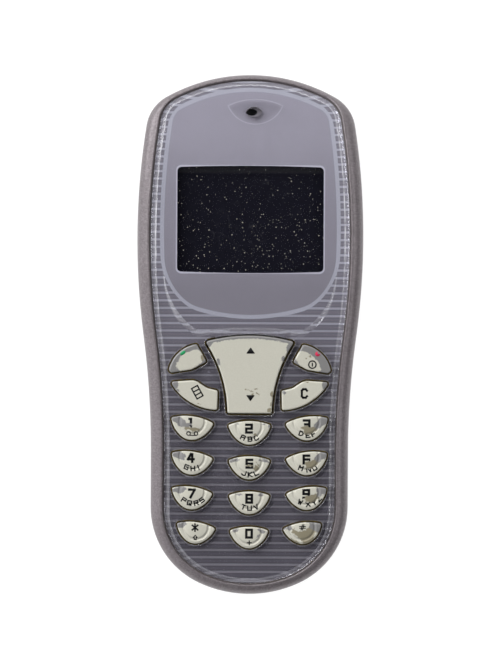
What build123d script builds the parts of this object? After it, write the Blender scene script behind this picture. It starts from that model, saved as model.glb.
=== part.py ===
from build123d import *
import math
import os

# A bar phone lying on its back, in millimetres. X is across it, Y runs from its lower end
# to its top end and Z is up out of its front. The origin is under its middle, on its back.
# The front is flat over the display. It slopes down over the keys and towards the top end.

# Lengths along the phone, from its lower end to its top end
end_to_last_row = 13.0
row_pitch = 7.1
first_row_to_rocker = 10.2
mat_over_rocker = 1.3
mat_to_headset = 1.05
headset_to_holder = 0.75
holder_to_speaker = 0.75
ear_below_top = 7.7

# Widths, and where the sides swell and draw in
column_pitch = 11.5
last_row_pitch = 10.7
key_widths = [8.7, 8.5, 8.35, 7.9]
key_edge_to_side = 4.1
hip_swell = 2.85
hip_below_window = 3.7
waist_below_first_row = 4.8
hip_share = 0.47
top_arc_radius = 34.5
top_corner_radius = 8.0
end_arc_radius = 24.0
end_corner_radius = 17.0

# Slopes of the front
key_slope = 4.5
top_slope = 9.0
slope_below_window = 11.2
slope_above_window = 10.8
front_blend = 80.0

# Depths, from the back to the front
back_wall = 1.2
battery_gap = 0.3
battery_depth = 4.6
bay_floor = 1.0
component_room = 1.6
board_depth = 0.9
dome_height = 0.4
mat_over_domes = 0.5
mat_depth = 0.8
mat_margin = 0.7
key_travel = 0.4
flange_depth = 0.8
flange_seat = 0.1
deck_depth = 1.2
film_depth = 0.15
plate_depth = 1.6
key_proud = 0.6

# Shells
side_wall = 1.5
rim_width = 2.7
rim_at_top = 1.3
rim_at_end = 2.2
rim_drop = 0.5
rim_round = 2.6
back_round = 5.0
plate_gap = 0.2
plate_round = 1.5
rim_edge_round = 0.3
key_hole_round = 0.3
seam = 0.1
board_room = 0.7
board_over_seam = 0.5
boss_flange = 0.5

# Battery cover: its tongue at the top, its hooks and its grip grooves
cover_depth = 5.5
cover_length = 68.5
cover_wall = 1.2
tongue_width = 16.0
tongue_reach = 2.4
tongue_gap = 0.15
hook_gap = 0.4
hook_side_gap = 0.35
hook_from_rib = 2.0
hook_length = 15.0
grooves = 5
groove_below_top = 9.0
groove_pitch = 1.8
groove_radius = 0.45
groove_length = 20.0
groove_taper = 1.5

# Display
window_width = 29.5
window_height = 21.0
window_bow = 0.3
window_corner = 0.85
glass_width = 36.0
glass_height = 29.0
glass_depth = 1.9
gasket_depth = 0.8
gasket_inset = 0.5
gasket_window_gap = 1.2
deck_window_gap = 1.0
holder_wall = 1.2
holder_gap = 0.15
holder_below_glass = 0.4
holder_ledge = 2.0
holder_floor = 0.8
holder_boss_gap = 0.3
connector_across = 7.0
connector_length = 12.0
connector_width = 2.5
connector_depth = 1.3
connector_to_holder = 0.9
flex_length = 8.0
flex_reach = 2.4
flex_depth = 0.15
step_width = 1.0
step_depth = 0.6
step_round = 0.8
step_over_rocker = 0.55
step_past_slope = 4.0

# Earpiece
ear_offset = 0.6
ear_slot_width = 3.4
ear_slot_rise = 1.1
ear_slot_drop = 0.9
ear_slot_round = 0.5
ear_bore_share = 0.7
ear_bore_shift = 0.4
leaf_width = 11.0
leaf_rise = 1.3
leaf_drop = 3.7
leaf_depth = 0.5
leaf_offset = 0.3
speaker_radius = 5.0
speaker_depth = 2.6
speaker_below_deck = 1.6
speaker_round = 0.4
speaker_rim = 1.2
speaker_dish = 0.3
ear_gasket_inset = 0.2
ear_gasket_width = 1.4

# Keys
key_gap = 0.2
key_round = 0.35
key_corner = 0.45
key_top_rise = 0.85
key_drop = 4.0
key_tip_radius = 3.3
key_flank_radius = 6.0
outer_key_turn = 8.0
outer_key_lift = 0.9
flange_width = 0.6
crown_radius = 2.6
crown_height = 0.3
stem_radius = 1.1
stem_gap = 0.3
stem_below_middle = 1.4
cap_lap = 0.1
rocker_gap = 0.3
rocker_flange = 0.5
rocker_stem_reach = 5.3
rocker_top_width = 18.0
rocker_mid_width = 11.5
rocker_end_width = 9.0
rocker_length = 15.7
rocker_top_bow = 1.25
rocker_shoulder = 6.6

# Corners of the soft keys right of the rocker, from the rocker's middle
upper_soft_key = [(10.7, 6.1), (14.3, 4.4), (16.35, 0.8), (15.8, 0.25), (11.6, 0.95), (8.65, 2.5)]
lower_soft_key = [(6.4, -3.25), (8.6, -2.75), (11.0, -1.15), (16.0, -1.5), (11.75, -5.8), (6.5, -7.2)]
soft_key_bend = 2.5

# Mat, domes and lamps under the keys
mat_play = 0.05
mat_side_gap = 0.6
mat_boss_gap = 0.4
mat_skirt = 0.8
mat_rocker_gap = 0.5
mat_stem_gap = 0.3
dome_sheet_depth = 0.1
dome_radius = 1.9
dome_top_radius = 0.8
led_across = 5.8
led_above_row = 2.8
led_width = 1.6
led_height = 0.8
led_depth = 0.5
led_gap = 0.3

# Foot of the raised display's edge right of the rocker, from the rocker's middle
step_foot = [(10.5, 7.5), (16.2, 13.3), (18.3, 19.3)]

# Screws
screw_radius = 0.9
screw_head_radius = 1.6
screw_head_depth = 1.0
screw_length = 4.6
screw_play = 0.1
screw_star_radius = 0.8
screw_star_depth = 0.6
insert_past_screw = 0.2
insert_below_top = 0.1
insert_play = 0.02
board_screw_gap = 0.2
insert_wall = 0.4
boss_wall = 0.75
top_screw_across = 14.5
top_screw_below_top = 10.5
end_screw_across = 11.0
end_screw_above_end = 6.9

# Battery, subscriber card and the bay behind them
battery_width = 32.0
battery_length = 45.7
battery_corner = 1.2
bay_gap = 1.8
bay_wall = 1.2
pad_width = 1.8
pad_depth = 0.3
pad_above_back = 1.6
pad_height = 2.0
contact_pitch = 3.0
contact_block_width = 10.0
contact_block_gap = 0.3
contact_block_reach = 2.0
contact_front_gap = 0.1
contact_above_back = 1.5
contact_width = 1.0
contact_height = 1.0
contact_over_block = 0.6
contact_play = 0.05
rib_depth = 3.4
rib_gap = 0.4
rib_width = 1.0
rib_from_battery_end = 4.0
rib_below_bay_top = 2.0
ledge_depth = 0.8
ledge_width = 0.6
card_width = 25.0
card_height = 15.0
card_depth = 0.76
card_below_bay_top = 27.0
card_opening_gap = 1.5
card_above_floor = 0.55
card_notch = 3.0
card_frame_wall = 1.2
card_frame_gap = 0.1
card_lip_from_middle = 2.0
card_lip_width = 3.0
card_lip_gap = 0.05

# Sockets
charge_bore = 1.75
charge_across = -4.0
charge_length = 5.2
charge_depth = 4.6
headset_bore = 1.3
headset_length = 7.7
headset_depth = 6.2
socket_wall = 0.9
socket_gap = 0.1
socket_entry = 0.2
socket_start = 0.5
entry_start = 1.0
entry_length = 4.5
charge_above_board = 0.05
charge_roof = 0.4
charge_floor = 0.5
headset_above_board = 0.3
board_socket_gap = 0.3

# Parts on the board
microphone_across = 5.0
microphone_above_end = 5.0
microphone_above_board = 0.8
microphone_radius = 2.0
microphone_depth = 1.5
microphone_hole_radius = 0.6
microphone_hole_length = 5.0
boot_hole_radius = 0.4
boot_wall = 0.5
boot_nose = 3.0
buzzer_across = -9.0
buzzer_over_window = 2.8
buzzer_radius = 4.6
buzzer_depth = 3.4
buzzer_round = 0.5
buzzer_hole_radius = 0.8
buzzer_hole_depth = 0.5
sound_slot_shifts = [-2.0, 0, 2.0]
sound_slot_length = 5.0
sound_slot_width = 0.8
motor_across = 8.0
motor_over_window = 1.8
motor_gap = 0.05
motor_radius = 2.0
motor_length = 8.0
weight_radius = 1.8
weight_length = 3.4
weight_gap = 0.4
weight_flat = 0.5
weight_hub_radius = 0.8
shaft_radius = 0.4
shaft_play = 0.05
shaft_inside = 2.8
shaft_bore_depth = 3.0
cell_across = -15.5
cell_over_window = 10.0
cell_radius = 2.4
cell_depth = 1.6
chip_depth = 1.0
shield_gap = 0.15
shield_wall = 0.2
shield_corner = 0.6
rf_shield_width = 28.0
rf_shield_below_bay_top = 0.5
baseband_shield_width = 24.0
baseband_shield_over_screws = 3.0
shield_to_card = 2.2
carrier_width = 22.0
carrier_length = 13.5
carrier_depth = 4.4
carrier_side_gap = 2.4
carrier_below_top = 6.0
carrier_over_back = 0.6
carrier_foot_width = 2.0
carrier_foot_length = 6.0
antenna_depth = 0.25
antenna_inset = 0.5
antenna_slit_across = -0.7
antenna_slit_width = 1.0
antenna_slit_below = 3.5
antenna_pins_across = [-2.4, 2.1]
antenna_pin_width = 1.2
antenna_pin_depth = 0.5
antenna_pin_below = 1.75
antenna_pin_gap = 0.15

# How far a cut runs past what it cuts, and how near a level an edge on it is looked for
past = 1.0
level_search = 0.12
key_top_search = 0.4
deck_search = 0.1
rim_search = 1.2

# Worked out: places along the phone
rows = len(key_widths)
headset_half_width = headset_bore + socket_wall
holder_reach = glass_height / 2 + holder_gap + holder_wall
rocker_to_window = (rocker_length / 2 + mat_over_rocker + mat_to_headset + 2 * headset_half_width
                    + headset_to_holder + holder_reach)
window_to_top = holder_reach + holder_to_speaker + speaker_radius + ear_below_top
body_length = (end_to_last_row + (rows - 1) * row_pitch + first_row_to_rocker
               + rocker_to_window + window_to_top)
top_y = body_length / 2
end_y = -body_length / 2
window_y = top_y - window_to_top
rocker_y = window_y - rocker_to_window
first_row_y = rocker_y - first_row_to_rocker
last_row_y = end_y + end_to_last_row
hip_y = window_y - hip_below_window
waist_y = first_row_y - waist_below_first_row
ear_y = top_y - ear_below_top
ear_x = ear_offset
cover_top_y = end_y + cover_length
bay_top_y = cover_top_y - bay_gap
battery_end_y = bay_top_y - battery_length
half_waist = column_pitch + key_widths[0] / 2 + key_edge_to_side
half_hips = half_waist + hip_swell

# Worked out: heights
battery_low = back_wall + battery_gap
floor_low = battery_low + battery_depth + battery_gap
floor_high = floor_low + bay_floor
board_low = floor_high + component_room
board_high = board_low + board_depth
dome_top = board_high + dome_height
seam_z = board_low + board_over_seam
deck_top = plate_depth + film_depth
deck_under = deck_top + deck_depth
flange_top = deck_under + flange_seat
flange_under = flange_top + flange_depth
mat_top = flange_under + key_travel + mat_play
mat_under = mat_top + mat_depth
low_key_y = last_row_y - key_drop
slope_y = window_y - slope_below_window
top_slope_y = window_y + slope_above_window
front_z = dome_top + mat_over_domes + mat_under + (slope_y - low_key_y) * math.tan(math.radians(key_slope))
glass_front = front_z - deck_under - gasket_depth
holder_low = board_high
above_all = front_z + 10 * past
far = body_length

parts = {}


def flat(x, y):
    return Vector(x, y)


def meet(first, first_reach, second, second_reach):
    """The point at these distances from two centres, left of the way from first to second."""
    way = second - first
    along = (first_reach**2 - second_reach**2 + way.length**2) / (2 * way.length)
    aside = math.sqrt(first_reach**2 - along**2)
    step = way.normalized()
    return first + step * along + flat(-step.Y, step.X) * aside


def toward(start, end, reach):
    return start + (end - start).normalized() * reach


def arc_about(centre, start, end):
    """The shorter arc about a centre."""
    middle = (start - centre).normalized() + (end - centre).normalized()
    return ThreePointArc(start, toward(centre, centre + middle, (start - centre).length), end)


def plan(sides, top=None, end=None):
    """The phone seen from the front, drawn in from its sides, its top and its lower end."""
    top = sides if top is None else top
    end = sides if end is None else end
    hips, waist = half_hips - sides, half_waist - sides
    high, low = top_y - top, end_y + end
    fall = hip_y - waist_y
    reach = ((hips - waist)**2 + fall**2) / (2 * (hips - waist))
    hip_radius = hip_share * reach
    top_radius = top_arc_radius - top
    shoulder_radius = top_corner_radius - (sides + top) / 2
    end_radius = end_arc_radius - end
    foot_radius = end_corner_radius - (sides + end) / 2
    top_centre = flat(0, high - top_radius)
    hip_centre = flat(hips - hip_radius, hip_y)
    waist_centre = flat(waist + reach - hip_radius, waist_y)
    shoulder_centre = meet(hip_centre, hip_radius - shoulder_radius,
                           top_centre, top_radius - shoulder_radius)
    end_centre = flat(0, low + end_radius)
    foot_drop = math.sqrt((end_radius - foot_radius)**2 - (waist - foot_radius)**2)
    foot_centre = flat(waist - foot_radius, end_centre.Y - foot_drop)
    points = [flat(0, high),
              toward(top_centre, shoulder_centre, top_radius),
              toward(hip_centre, shoulder_centre, hip_radius),
              toward(hip_centre, waist_centre, hip_radius),
              flat(waist, waist_y),
              flat(waist, foot_centre.Y),
              toward(end_centre, foot_centre, end_radius),
              flat(0, low)]
    centres = [top_centre, shoulder_centre, hip_centre, waist_centre, None, foot_centre, end_centre]
    right = Curve()
    for centre, start, stop in zip(centres, points, points[1:]):
        right += arc_about(centre, start, stop) if centre else Line(start, stop)
    return make_face(right + mirror(right, Plane.YZ))


def prism(face, low, high):
    return extrude(Pos(0, 0, low) * face, amount=high - low, dir=(0, 0, 1))


def side_at(y):
    """Half the phone's width at a place beside its swell."""
    fall = hip_y - waist_y
    radius = hip_share * (hip_swell**2 + fall**2) / (2 * hip_swell)
    return half_hips - radius + math.sqrt(radius**2 - (y - hip_y)**2)


def end_inside(across):
    """Inside face of the lower end wall, at a distance from the middle."""
    return end_y + end_arc_radius - math.sqrt((end_arc_radius - side_wall)**2 - across**2)


def box(x0, x1, y0, y1, z0, z1):
    return Pos((x0 + x1) / 2, (y0 + y1) / 2, (z0 + z1) / 2) * Box(x1 - x0, y1 - y0, z1 - z0)


def rod(x, y, radius, low, high):
    return Pos(x, y, (low + high) / 2) * Cylinder(radius, high - low)


def under(drop):
    """The space below the front face lowered by drop."""
    key_fall = (slope_y - end_y + far) * math.tan(math.radians(key_slope))
    top_fall = (top_y + far - top_slope_y) * math.tan(math.radians(top_slope))
    level = front_z - drop
    line = FilletPolyline((end_y - far, level - key_fall), (slope_y, level), (top_slope_y, level),
                          (top_y + far, level - top_fall), radius=front_blend)
    deep = Polyline(line @ 1, (top_y + far, -far), (end_y - far, -far), line @ 0)
    return extrude(Plane.YZ * make_face(line + deep), amount=far, both=True)


def front_at(y, drop=0):
    """Height of the front face lowered by drop, away from its blends."""
    fall = max(slope_y - y, 0) * math.tan(math.radians(key_slope))
    fall += max(y - top_slope_y, 0) * math.tan(math.radians(top_slope))
    return front_z - drop - fall


def layer(face, top_drop, under_drop):
    """A sheet that follows the front face, between two depths below it."""
    return prism(face, seam_z, above_all) & under(top_drop) - under(under_drop)


def below(face, low, drop):
    """A block from a level up to the front face lowered by drop."""
    return prism(face, low, above_all) & under(drop)


def top_edges(solid, level):
    """The edges round a solid's top, without those across the phone or upright."""
    edges = solid.edges().filter_by(Axis.X, reverse=True).filter_by(Axis.Z, reverse=True)
    return edges.filter_by(lambda edge: edge.center().Z > level)


def edges_at(solid, z):
    return solid.edges().filter_by_position(Axis.Z, z - 0.001, z + 0.001)


# Outlines on the front

def window_face(margin=0.0):
    half_width, half_height = window_width / 2 + margin, window_height / 2 + margin
    corners = [(half_width, half_height), (-half_width, half_height),
               (-half_width, -half_height), (half_width, -half_height)]
    edges = ThreePointArc(corners[0], (0, half_height + window_bow), corners[1])
    edges += Line(corners[1], corners[2])
    edges += ThreePointArc(corners[2], (0, -half_height - window_bow), corners[3])
    edges += Line(corners[3], corners[0])
    face = make_face(edges)
    return Pos(0, window_y) * fillet(face.vertices(), window_corner)


def half_moon(width):
    """A number key: a low arc above and a deep round below, about the middle of its corners."""
    size = width / key_widths[0]
    left, right = flat(-width / 2, 0), flat(width / 2, 0)
    tip_radius, flank_radius = key_tip_radius * size, key_flank_radius * size
    tip = flat(0, -key_drop * size)
    tip_centre = tip + flat(0, tip_radius)
    flank_centre = meet(left, flank_radius, tip_centre, flank_radius - tip_radius)
    join = toward(flank_centre, tip_centre, flank_radius)
    half = arc_about(flank_centre, left, join) + arc_about(tip_centre, join, tip)
    top = ThreePointArc(left, (0, key_top_rise * size), right)
    face = make_face(top + half + mirror(half, Plane.YZ))
    ends = face.vertices().filter_by(lambda v: abs(v.X) > 0.45 * width)
    return fillet(ends, key_corner)


def near(face, *points):
    """The corners of a face that lie at these points."""
    return [v for v in face.vertices() if any(math.dist((v.X, v.Y), p) < 0.01 for p in points)]


def upper_soft_face():
    a, b, c, d, e, f = upper_soft_key
    edges = ThreePointArc(a, b, c) + Line(c, d) + FilletPolyline(d, e, f, radius=soft_key_bend)
    face = make_face(edges + Line(f, a))
    return Pos(0, rocker_y) * fillet(near(face, a, c, d, f), key_corner)


def lower_soft_face():
    a, b, c, d, e, f = lower_soft_key
    edges = FilletPolyline(a, b, c, d, radius=soft_key_bend) + ThreePointArc(d, e, f) + Line(f, a)
    return Pos(0, rocker_y) * fillet(near(make_face(edges), a, d, f), key_corner)


def rocker_face():
    high, low = rocker_length / 2, -rocker_length / 2
    shoulder = high - rocker_top_bow
    left = (-rocker_top_width / 2, shoulder)
    right = (rocker_top_width / 2, shoulder)
    waist = high - rocker_shoulder - rocker_top_bow
    half_end = rocker_end_width / 2
    edges = ThreePointArc(left, (0, high), right)
    edges += ThreePointArc(right, (rocker_mid_width / 2, waist), (half_end, low))
    edges += Line((half_end, low), (-half_end, low))
    edges += ThreePointArc((-half_end, low), (-rocker_mid_width / 2, waist), left)
    face = make_face(edges)
    return Pos(0, rocker_y) * fillet(face.vertices(), key_corner)


def key_outlines():
    """Every key by name: its outline, and the middle of a number key or None."""
    faces = {"nav_key": (rocker_face(), None),
             "send_key": (mirror(upper_soft_face(), Plane.YZ), None),
             "end_key": (upper_soft_face(), None),
             "names_key": (mirror(lower_soft_face(), Plane.YZ), None),
             "clear_key": (lower_soft_face(), None)}
    names = [["key_1", "key_2", "key_3"], ["key_4", "key_5", "key_6"],
             ["key_7", "key_8", "key_9"], ["key_star", "key_0", "key_hash"]]
    for row, width in enumerate(key_widths):
        pitch = last_row_pitch if row == rows - 1 else column_pitch
        for column, side in enumerate((-1, 0, 1)):
            x = side * pitch
            y = first_row_y - row * row_pitch + abs(side) * outer_key_lift
            place = Pos(x, y) * Rot(0, 0, side * outer_key_turn)
            faces[names[row][column]] = (place * half_moon(width), (x, y))
    return faces


def grown(face, amount):
    return offset(face, amount)


outlines = key_outlines()
body_plan = plan(0)
plate_plan = plan(rim_width, rim_at_top, rim_at_end)
pocket_plan = plan(rim_width - plate_gap, rim_at_top - plate_gap, rim_at_end - plate_gap)
room_plan = plan(side_wall)
board_plan = plan(side_wall + board_room)


def hole_face(name):
    gap = rocker_gap if name == "nav_key" else key_gap
    return grown(outlines[name][0], gap)


def ear_slot_face(share=1.0):
    """The almond-shaped earpiece slot about its middle, its right end rounder than its left."""
    half = ear_slot_width / 2 * share
    edges = ThreePointArc((-half, 0), (0, ear_slot_rise * share), (half, 0))
    edges += ThreePointArc((half, 0), (0, -ear_slot_drop * share), (-half, 0))
    face = make_face(edges)
    return fillet(near(face, (half, 0)), ear_slot_round * share)


key_holes = Sketch() + [hole_face(name) for name in outlines]
ear_face = Pos(ear_x, ear_y) * ear_slot_face()
ear_bore_face = Pos(ear_x - ear_bore_shift, ear_y) * ear_slot_face(ear_bore_share)


# Front

step_high_y = slope_y + step_past_slope


def step_plan():
    """The raised display's lower edge: two flanks, and a hollow round the rocker's top."""
    knee, bend, end = step_foot
    crest = rocker_length / 2 + step_over_rocker
    hollow = ThreePointArc((-knee[0], knee[1]), (0, crest), knee)
    high = step_high_y - rocker_y
    flank = ThreePointArc(knee, bend, end) + Line(end, (end[0], high))
    edges = hollow + flank + mirror(flank, Plane.YZ) + Line((end[0], high), (-end[0], high))
    return Pos(0, rocker_y) * make_face(edges)


def faceplate():
    slab = prism(plate_plan, seam_z, above_all) & under(0)
    slab = fillet(top_edges(slab, seam_z + past), plate_round)
    raised = prism(step_plan(), seam_z, front_z)
    top = raised.faces().sort_by(Axis.Z)[-1]
    raised = chamfer(step_edges(raised), step_width, step_depth, reference=top)
    raised = fillet(step_edges(raised), step_round)
    slab -= prism(key_holes, seam_z, above_all)
    slab = fillet(key_hole_edges(slab), key_hole_round)
    slab += raised - prism(key_holes, seam_z, above_all)
    return slab - under(plate_depth) - prism(ear_face, seam_z, above_all) - leaf()


def step_edges(raised):
    """The curved edges round the raised display's top."""
    return edges_at(raised, front_z).filter_by(Axis.X, reverse=True).filter_by(Axis.Y, reverse=True)


def key_hole_edges(slab):
    """The edges round the key holes on the plate's front."""
    holes = key_holes.bounding_box()
    edges = slab.edges().filter_by(Axis.Z, reverse=True)
    return edges.filter_by(lambda e: holes.min.Y - past < e.center().Y < holes.max.Y + past
                           and holes.min.X - past < e.center().X < holes.max.X + past
                           and abs(e.center().Z - front_at(e.center().Y)) < level_search)


def leaf():
    """The leaf-shaped dip round the earpiece slot."""
    half = leaf_width / 2
    edges = ThreePointArc((-half, 0), (0, leaf_rise), (half, 0))
    edges += ThreePointArc((half, 0), (0, -leaf_drop), (-half, 0))
    place = Pos(ear_x + leaf_offset, ear_y + leaf_rise)
    return prism(place * make_face(edges), seam_z, above_all) - under(leaf_depth)


def decor_film():
    sheet = layer(plate_plan, plate_depth, deck_top)
    sheet -= prism(key_holes, seam_z, above_all) + prism(ear_bore_face, seam_z, above_all)
    return sheet - prism(window_face(), seam_z, above_all)


def boss_places():
    top = [(side * top_screw_across, top_y - top_screw_below_top) for side in (-1, 1)]
    end = [(side * end_screw_across, end_y + end_screw_above_end) for side in (-1, 1)]
    return top, end


top_bosses, end_bosses = boss_places()
all_bosses = top_bosses + end_bosses
insert_radius = screw_radius + insert_wall
boss_radius = insert_radius + boss_wall
screw_tip = floor_high + screw_length
insert_top = screw_tip + insert_past_screw
charge_z = board_high + charge_above_board
charge_half_width = charge_bore + socket_wall
charge_front = end_inside(abs(charge_across) + charge_half_width) + socket_gap
headset_y = window_y - holder_reach - headset_to_holder - headset_half_width
headset_z = board_high + headset_half_width + headset_above_board
microphone_y = end_y + microphone_above_end
microphone_z = board_high + microphone_above_board


def front_casing():
    shell = prism(body_plan, seam_z, above_all) & under(rim_drop)
    shell = fillet(top_edges(shell, seam_z + past), rim_round)
    shell -= prism(pocket_plan, seam_z, above_all) - under(deck_top)
    shell = fillet(pocket_edges(shell), rim_edge_round)
    shell -= below(room_plan, seam_z, deck_under)
    for x, y in all_bosses:
        post = below(Pos(x, y) * Circle(boss_radius), board_high, deck_under)
        shell += post - rod(x, y, insert_radius, board_high, insert_top)
    shell -= prism(key_holes, seam_z, above_all) + prism(ear_bore_face, seam_z, above_all)
    shell -= prism(window_face(deck_window_gap), seam_z, above_all)
    shell -= charge_entry() + headset_entry()
    return shell - microphone_entry(microphone_hole_radius)


def pocket_edges(shell):
    """The edge of the faceplate's pocket, along the top of the rim."""
    edges = shell.edges().filter_by(Axis.Z, reverse=True)
    return edges.filter_by(lambda e: front_at(e.center().Y, deck_top) + deck_search < e.center().Z
                           and front_at(e.center().Y, rim_drop + rim_search) < e.center().Z)


def rear_casing():
    shell = prism(body_plan, 0, seam_z)
    shell = fillet(edges_at(shell, 0), back_round)
    room = prism(room_plan, back_wall, seam_z)
    room = fillet(edges_at(room, back_wall), back_round - side_wall)
    wall_top = cover_top_y + seam + bay_wall
    shell -= room & box(-far, far, wall_top, far, 0, seam_z)
    shell -= prism(room_plan, floor_high, seam_z)
    shell -= box(-far, far, -far, cover_top_y + seam, -past, cover_depth + seam)
    shell -= prism(room_plan, cover_depth, floor_low) & box(-far, far, -far, cover_top_y + seam, 0, floor_low)
    for side in (-1, 1):
        shell += side_rib(side)
    for x, y in all_bosses:
        low = 0 if (x, y) in top_bosses else floor_low
        shell += rod(x, y, boss_radius + boss_flange if low == 0 else boss_radius, low, board_low)
        shell -= rod(x, y, screw_head_radius + screw_play, -past, floor_high)
        shell -= rod(x, y, screw_radius + screw_play, floor_high, board_low)
    shell -= card_opening() + contact_opening() + tongue_slot()
    shell -= sound_slots()
    return shell - charge_entry()


rib_inside = battery_width / 2 + rib_gap
rib_end = battery_end_y + rib_from_battery_end
rib_top = bay_top_y - rib_below_bay_top


def side_rib(side):
    """A rib beside the battery, with the ledge that the cover hooks over."""
    rib = box(rib_inside, rib_inside + rib_width, rib_end, rib_top, floor_low - rib_depth, floor_low)
    rib += box(rib_inside + rib_width, rib_inside + rib_width + ledge_width, rib_end, rib_top,
               floor_low - rib_depth, floor_low - rib_depth + ledge_depth)
    return rib if side > 0 else mirror(rib, Plane.YZ)


def card_centre():
    return bay_top_y - card_below_bay_top


def card_opening():
    return card_block(card_opening_gap, floor_low, floor_high)


def contact_opening():
    half = contact_block_width / 2 + contact_block_gap
    low = battery_low + contact_above_back - contact_block_gap
    return box(-half, half, cover_top_y, cover_top_y + seam + bay_wall, low, floor_high)


tongue_half_width = tongue_width / 2
tongue_low = back_wall / 2


def tongue_slot():
    return box(-tongue_half_width - tongue_gap, tongue_half_width + tongue_gap, cover_top_y,
               cover_top_y + tongue_reach + tongue_gap, tongue_low - tongue_gap, back_wall + tongue_gap)


buzzer_x, buzzer_y = buzzer_across, window_y + buzzer_over_window


def sound_slots():
    slots = Part()
    for shift in sound_slot_shifts:
        face = Pos(buzzer_x, buzzer_y + shift) * SlotOverall(sound_slot_length, sound_slot_width)
        slots += prism(face, -past, back_wall)
    return slots


def charge_entry():
    place = Pos(charge_across, end_y + entry_length / 2 - entry_start, charge_z) * Rot(90, 0, 0)
    return place * Cylinder(charge_bore + socket_entry, entry_length)


def headset_entry():
    place = Pos(-half_hips + entry_length / 2 - entry_start, headset_y, headset_z) * Rot(0, 90, 0)
    return place * Cylinder(headset_bore + socket_entry, entry_length)


def microphone_entry(radius):
    place = Pos(microphone_across, end_y + microphone_hole_length / 2, microphone_z) * Rot(90, 0, 0)
    return place * Cylinder(radius, microphone_hole_length)


def battery_cover():
    tub = prism(body_plan, 0, cover_depth)
    tub = fillet(edges_at(tub, 0), back_round)
    room = prism(plan(cover_wall), back_wall, cover_depth + past)
    room = fillet(edges_at(room, back_wall), back_round - cover_wall)
    tub = (tub - room) & box(-far, far, -far, cover_top_y, -past, cover_depth)
    hook_low = floor_low - rib_depth + ledge_depth + hook_gap
    hook_inside = rib_inside + rib_width + hook_side_gap
    hook_end = rib_end + hook_from_rib
    hook = box(hook_inside, far, hook_end, hook_end + hook_length, hook_low, hook_low + ledge_depth)
    hook &= prism(plan(cover_wall / 2), 0, cover_depth)
    tub += hook + mirror(hook, Plane.YZ)
    tub += box(-tongue_half_width, tongue_half_width, cover_top_y - tongue_reach,
               cover_top_y + tongue_reach, tongue_low, back_wall)
    for row in range(grooves):
        y = cover_top_y - groove_below_top - groove_pitch * row
        tub -= Pos(0, y, 0) * Rot(0, 90, 0) * Cylinder(groove_radius, groove_length - groove_taper * row)
    return tub


# Keys and what is under them

def middle_of(face):
    middle = face.bounding_box().center()
    return middle.X, middle.Y


def key_cap(name):
    face, middle = outlines[name]
    rim = rocker_flange if name == "nav_key" else 0
    cap = below(face, seam_z, -key_proud) - under(flange_top + rim + cap_lap)
    cap = fillet(top_edges(cap, front_at(middle_of(face)[1], key_top_search)), key_round)
    if middle:
        cap += crown(face, middle)
    skirt = layer(grown(face, flange_width), flange_top + rim, flange_under + rim)
    stems = rocker_stems if name == "nav_key" else [stem_place(name)]
    key = cap + skirt
    for x, y in stems:
        key += below(Pos(x, y) * Circle(stem_radius), dome_top + stem_gap + key_travel, flange_top + rim)
    return key


rocker_stems = [(0, rocker_y + rocker_stem_reach), (0, rocker_y - rocker_stem_reach)]


def stem_place(name):
    face, middle = outlines[name]
    if middle:
        return middle[0], middle[1] - stem_below_middle
    return middle_of(face)


def crown(face, middle):
    """The low dome on a number key's top, under its figure."""
    x, y = middle
    radius = (crown_radius**2 + crown_height**2) / (2 * crown_height)
    z = front_at(y, -key_proud) + crown_height - radius
    ball = Pos(x, y, z) * Sphere(radius)
    inner = grown(face, -key_round)
    return (below(inner, seam_z, 0) + (prism(inner, seam_z, above_all) & ball)) - under(key_proud)


mat_end_y = last_row_y - key_drop - mat_margin
mat_top_y = rocker_y + rocker_length / 2 + mat_over_rocker


def mat_face(inset=0.0):
    block = Pos(0, (mat_end_y + mat_top_y) / 2) * Rectangle(far, mat_top_y - mat_end_y - 2 * inset)
    face = plan(side_wall + mat_side_gap + inset) & block
    for x, y in end_bosses:
        face -= Pos(x, y) * Circle(boss_radius + mat_boss_gap + inset)
    return face


def keypad_mat():
    mat = layer(mat_face(), mat_top, mat_under)
    skirt = below(mat_face() - mat_face(mat_skirt), board_high + dome_sheet_depth, mat_top)
    mat += skirt
    for name in outlines:
        if name == "nav_key":
            mat -= prism(grown(outlines[name][0], flange_width + mat_rocker_gap), seam_z, above_all)
        else:
            x, y = stem_place(name)
            mat -= rod(x, y, stem_radius + mat_stem_gap, dome_top, above_all)
    return mat


def dome_places():
    places = [stem_place(name) for name in outlines if name != "nav_key"]
    return places + rocker_stems


led_places = [(side * led_across, first_row_y + led_above_row - row * row_pitch)
              for row in range(rows) for side in (-1, 1)]


def led_block(x, y, gap, depth):
    half_width, half_height = led_width / 2 + gap, led_height / 2 + gap
    return box(x - half_width, x + half_width, y - half_height, y + half_height, board_high, board_high + depth)


def dome_sheet():
    sheet_top = board_high + dome_sheet_depth
    sheet = prism(mat_face(), board_high, sheet_top)
    for x, y in dome_places():
        height = dome_top - sheet_top
        sheet += Pos(x, y, sheet_top + height / 2) * Cone(dome_radius, dome_top_radius, height)
    for x, y in led_places:
        sheet -= led_block(x, y, led_gap, past)
    return sheet


def keypad_leds():
    return Part() + [led_block(x, y, 0, led_depth) for x, y in led_places]


# Display

def display_glass():
    half_width, half_height = glass_width / 2, glass_height / 2
    return box(-half_width, half_width, window_y - half_height, window_y + half_height,
               glass_front - glass_depth, glass_front)


def display_gasket():
    ring = Pos(0, window_y) * Rectangle(glass_width - 2 * gasket_inset, glass_height - 2 * gasket_inset)
    return below(ring - window_face(gasket_window_gap), glass_front, deck_under)


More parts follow.
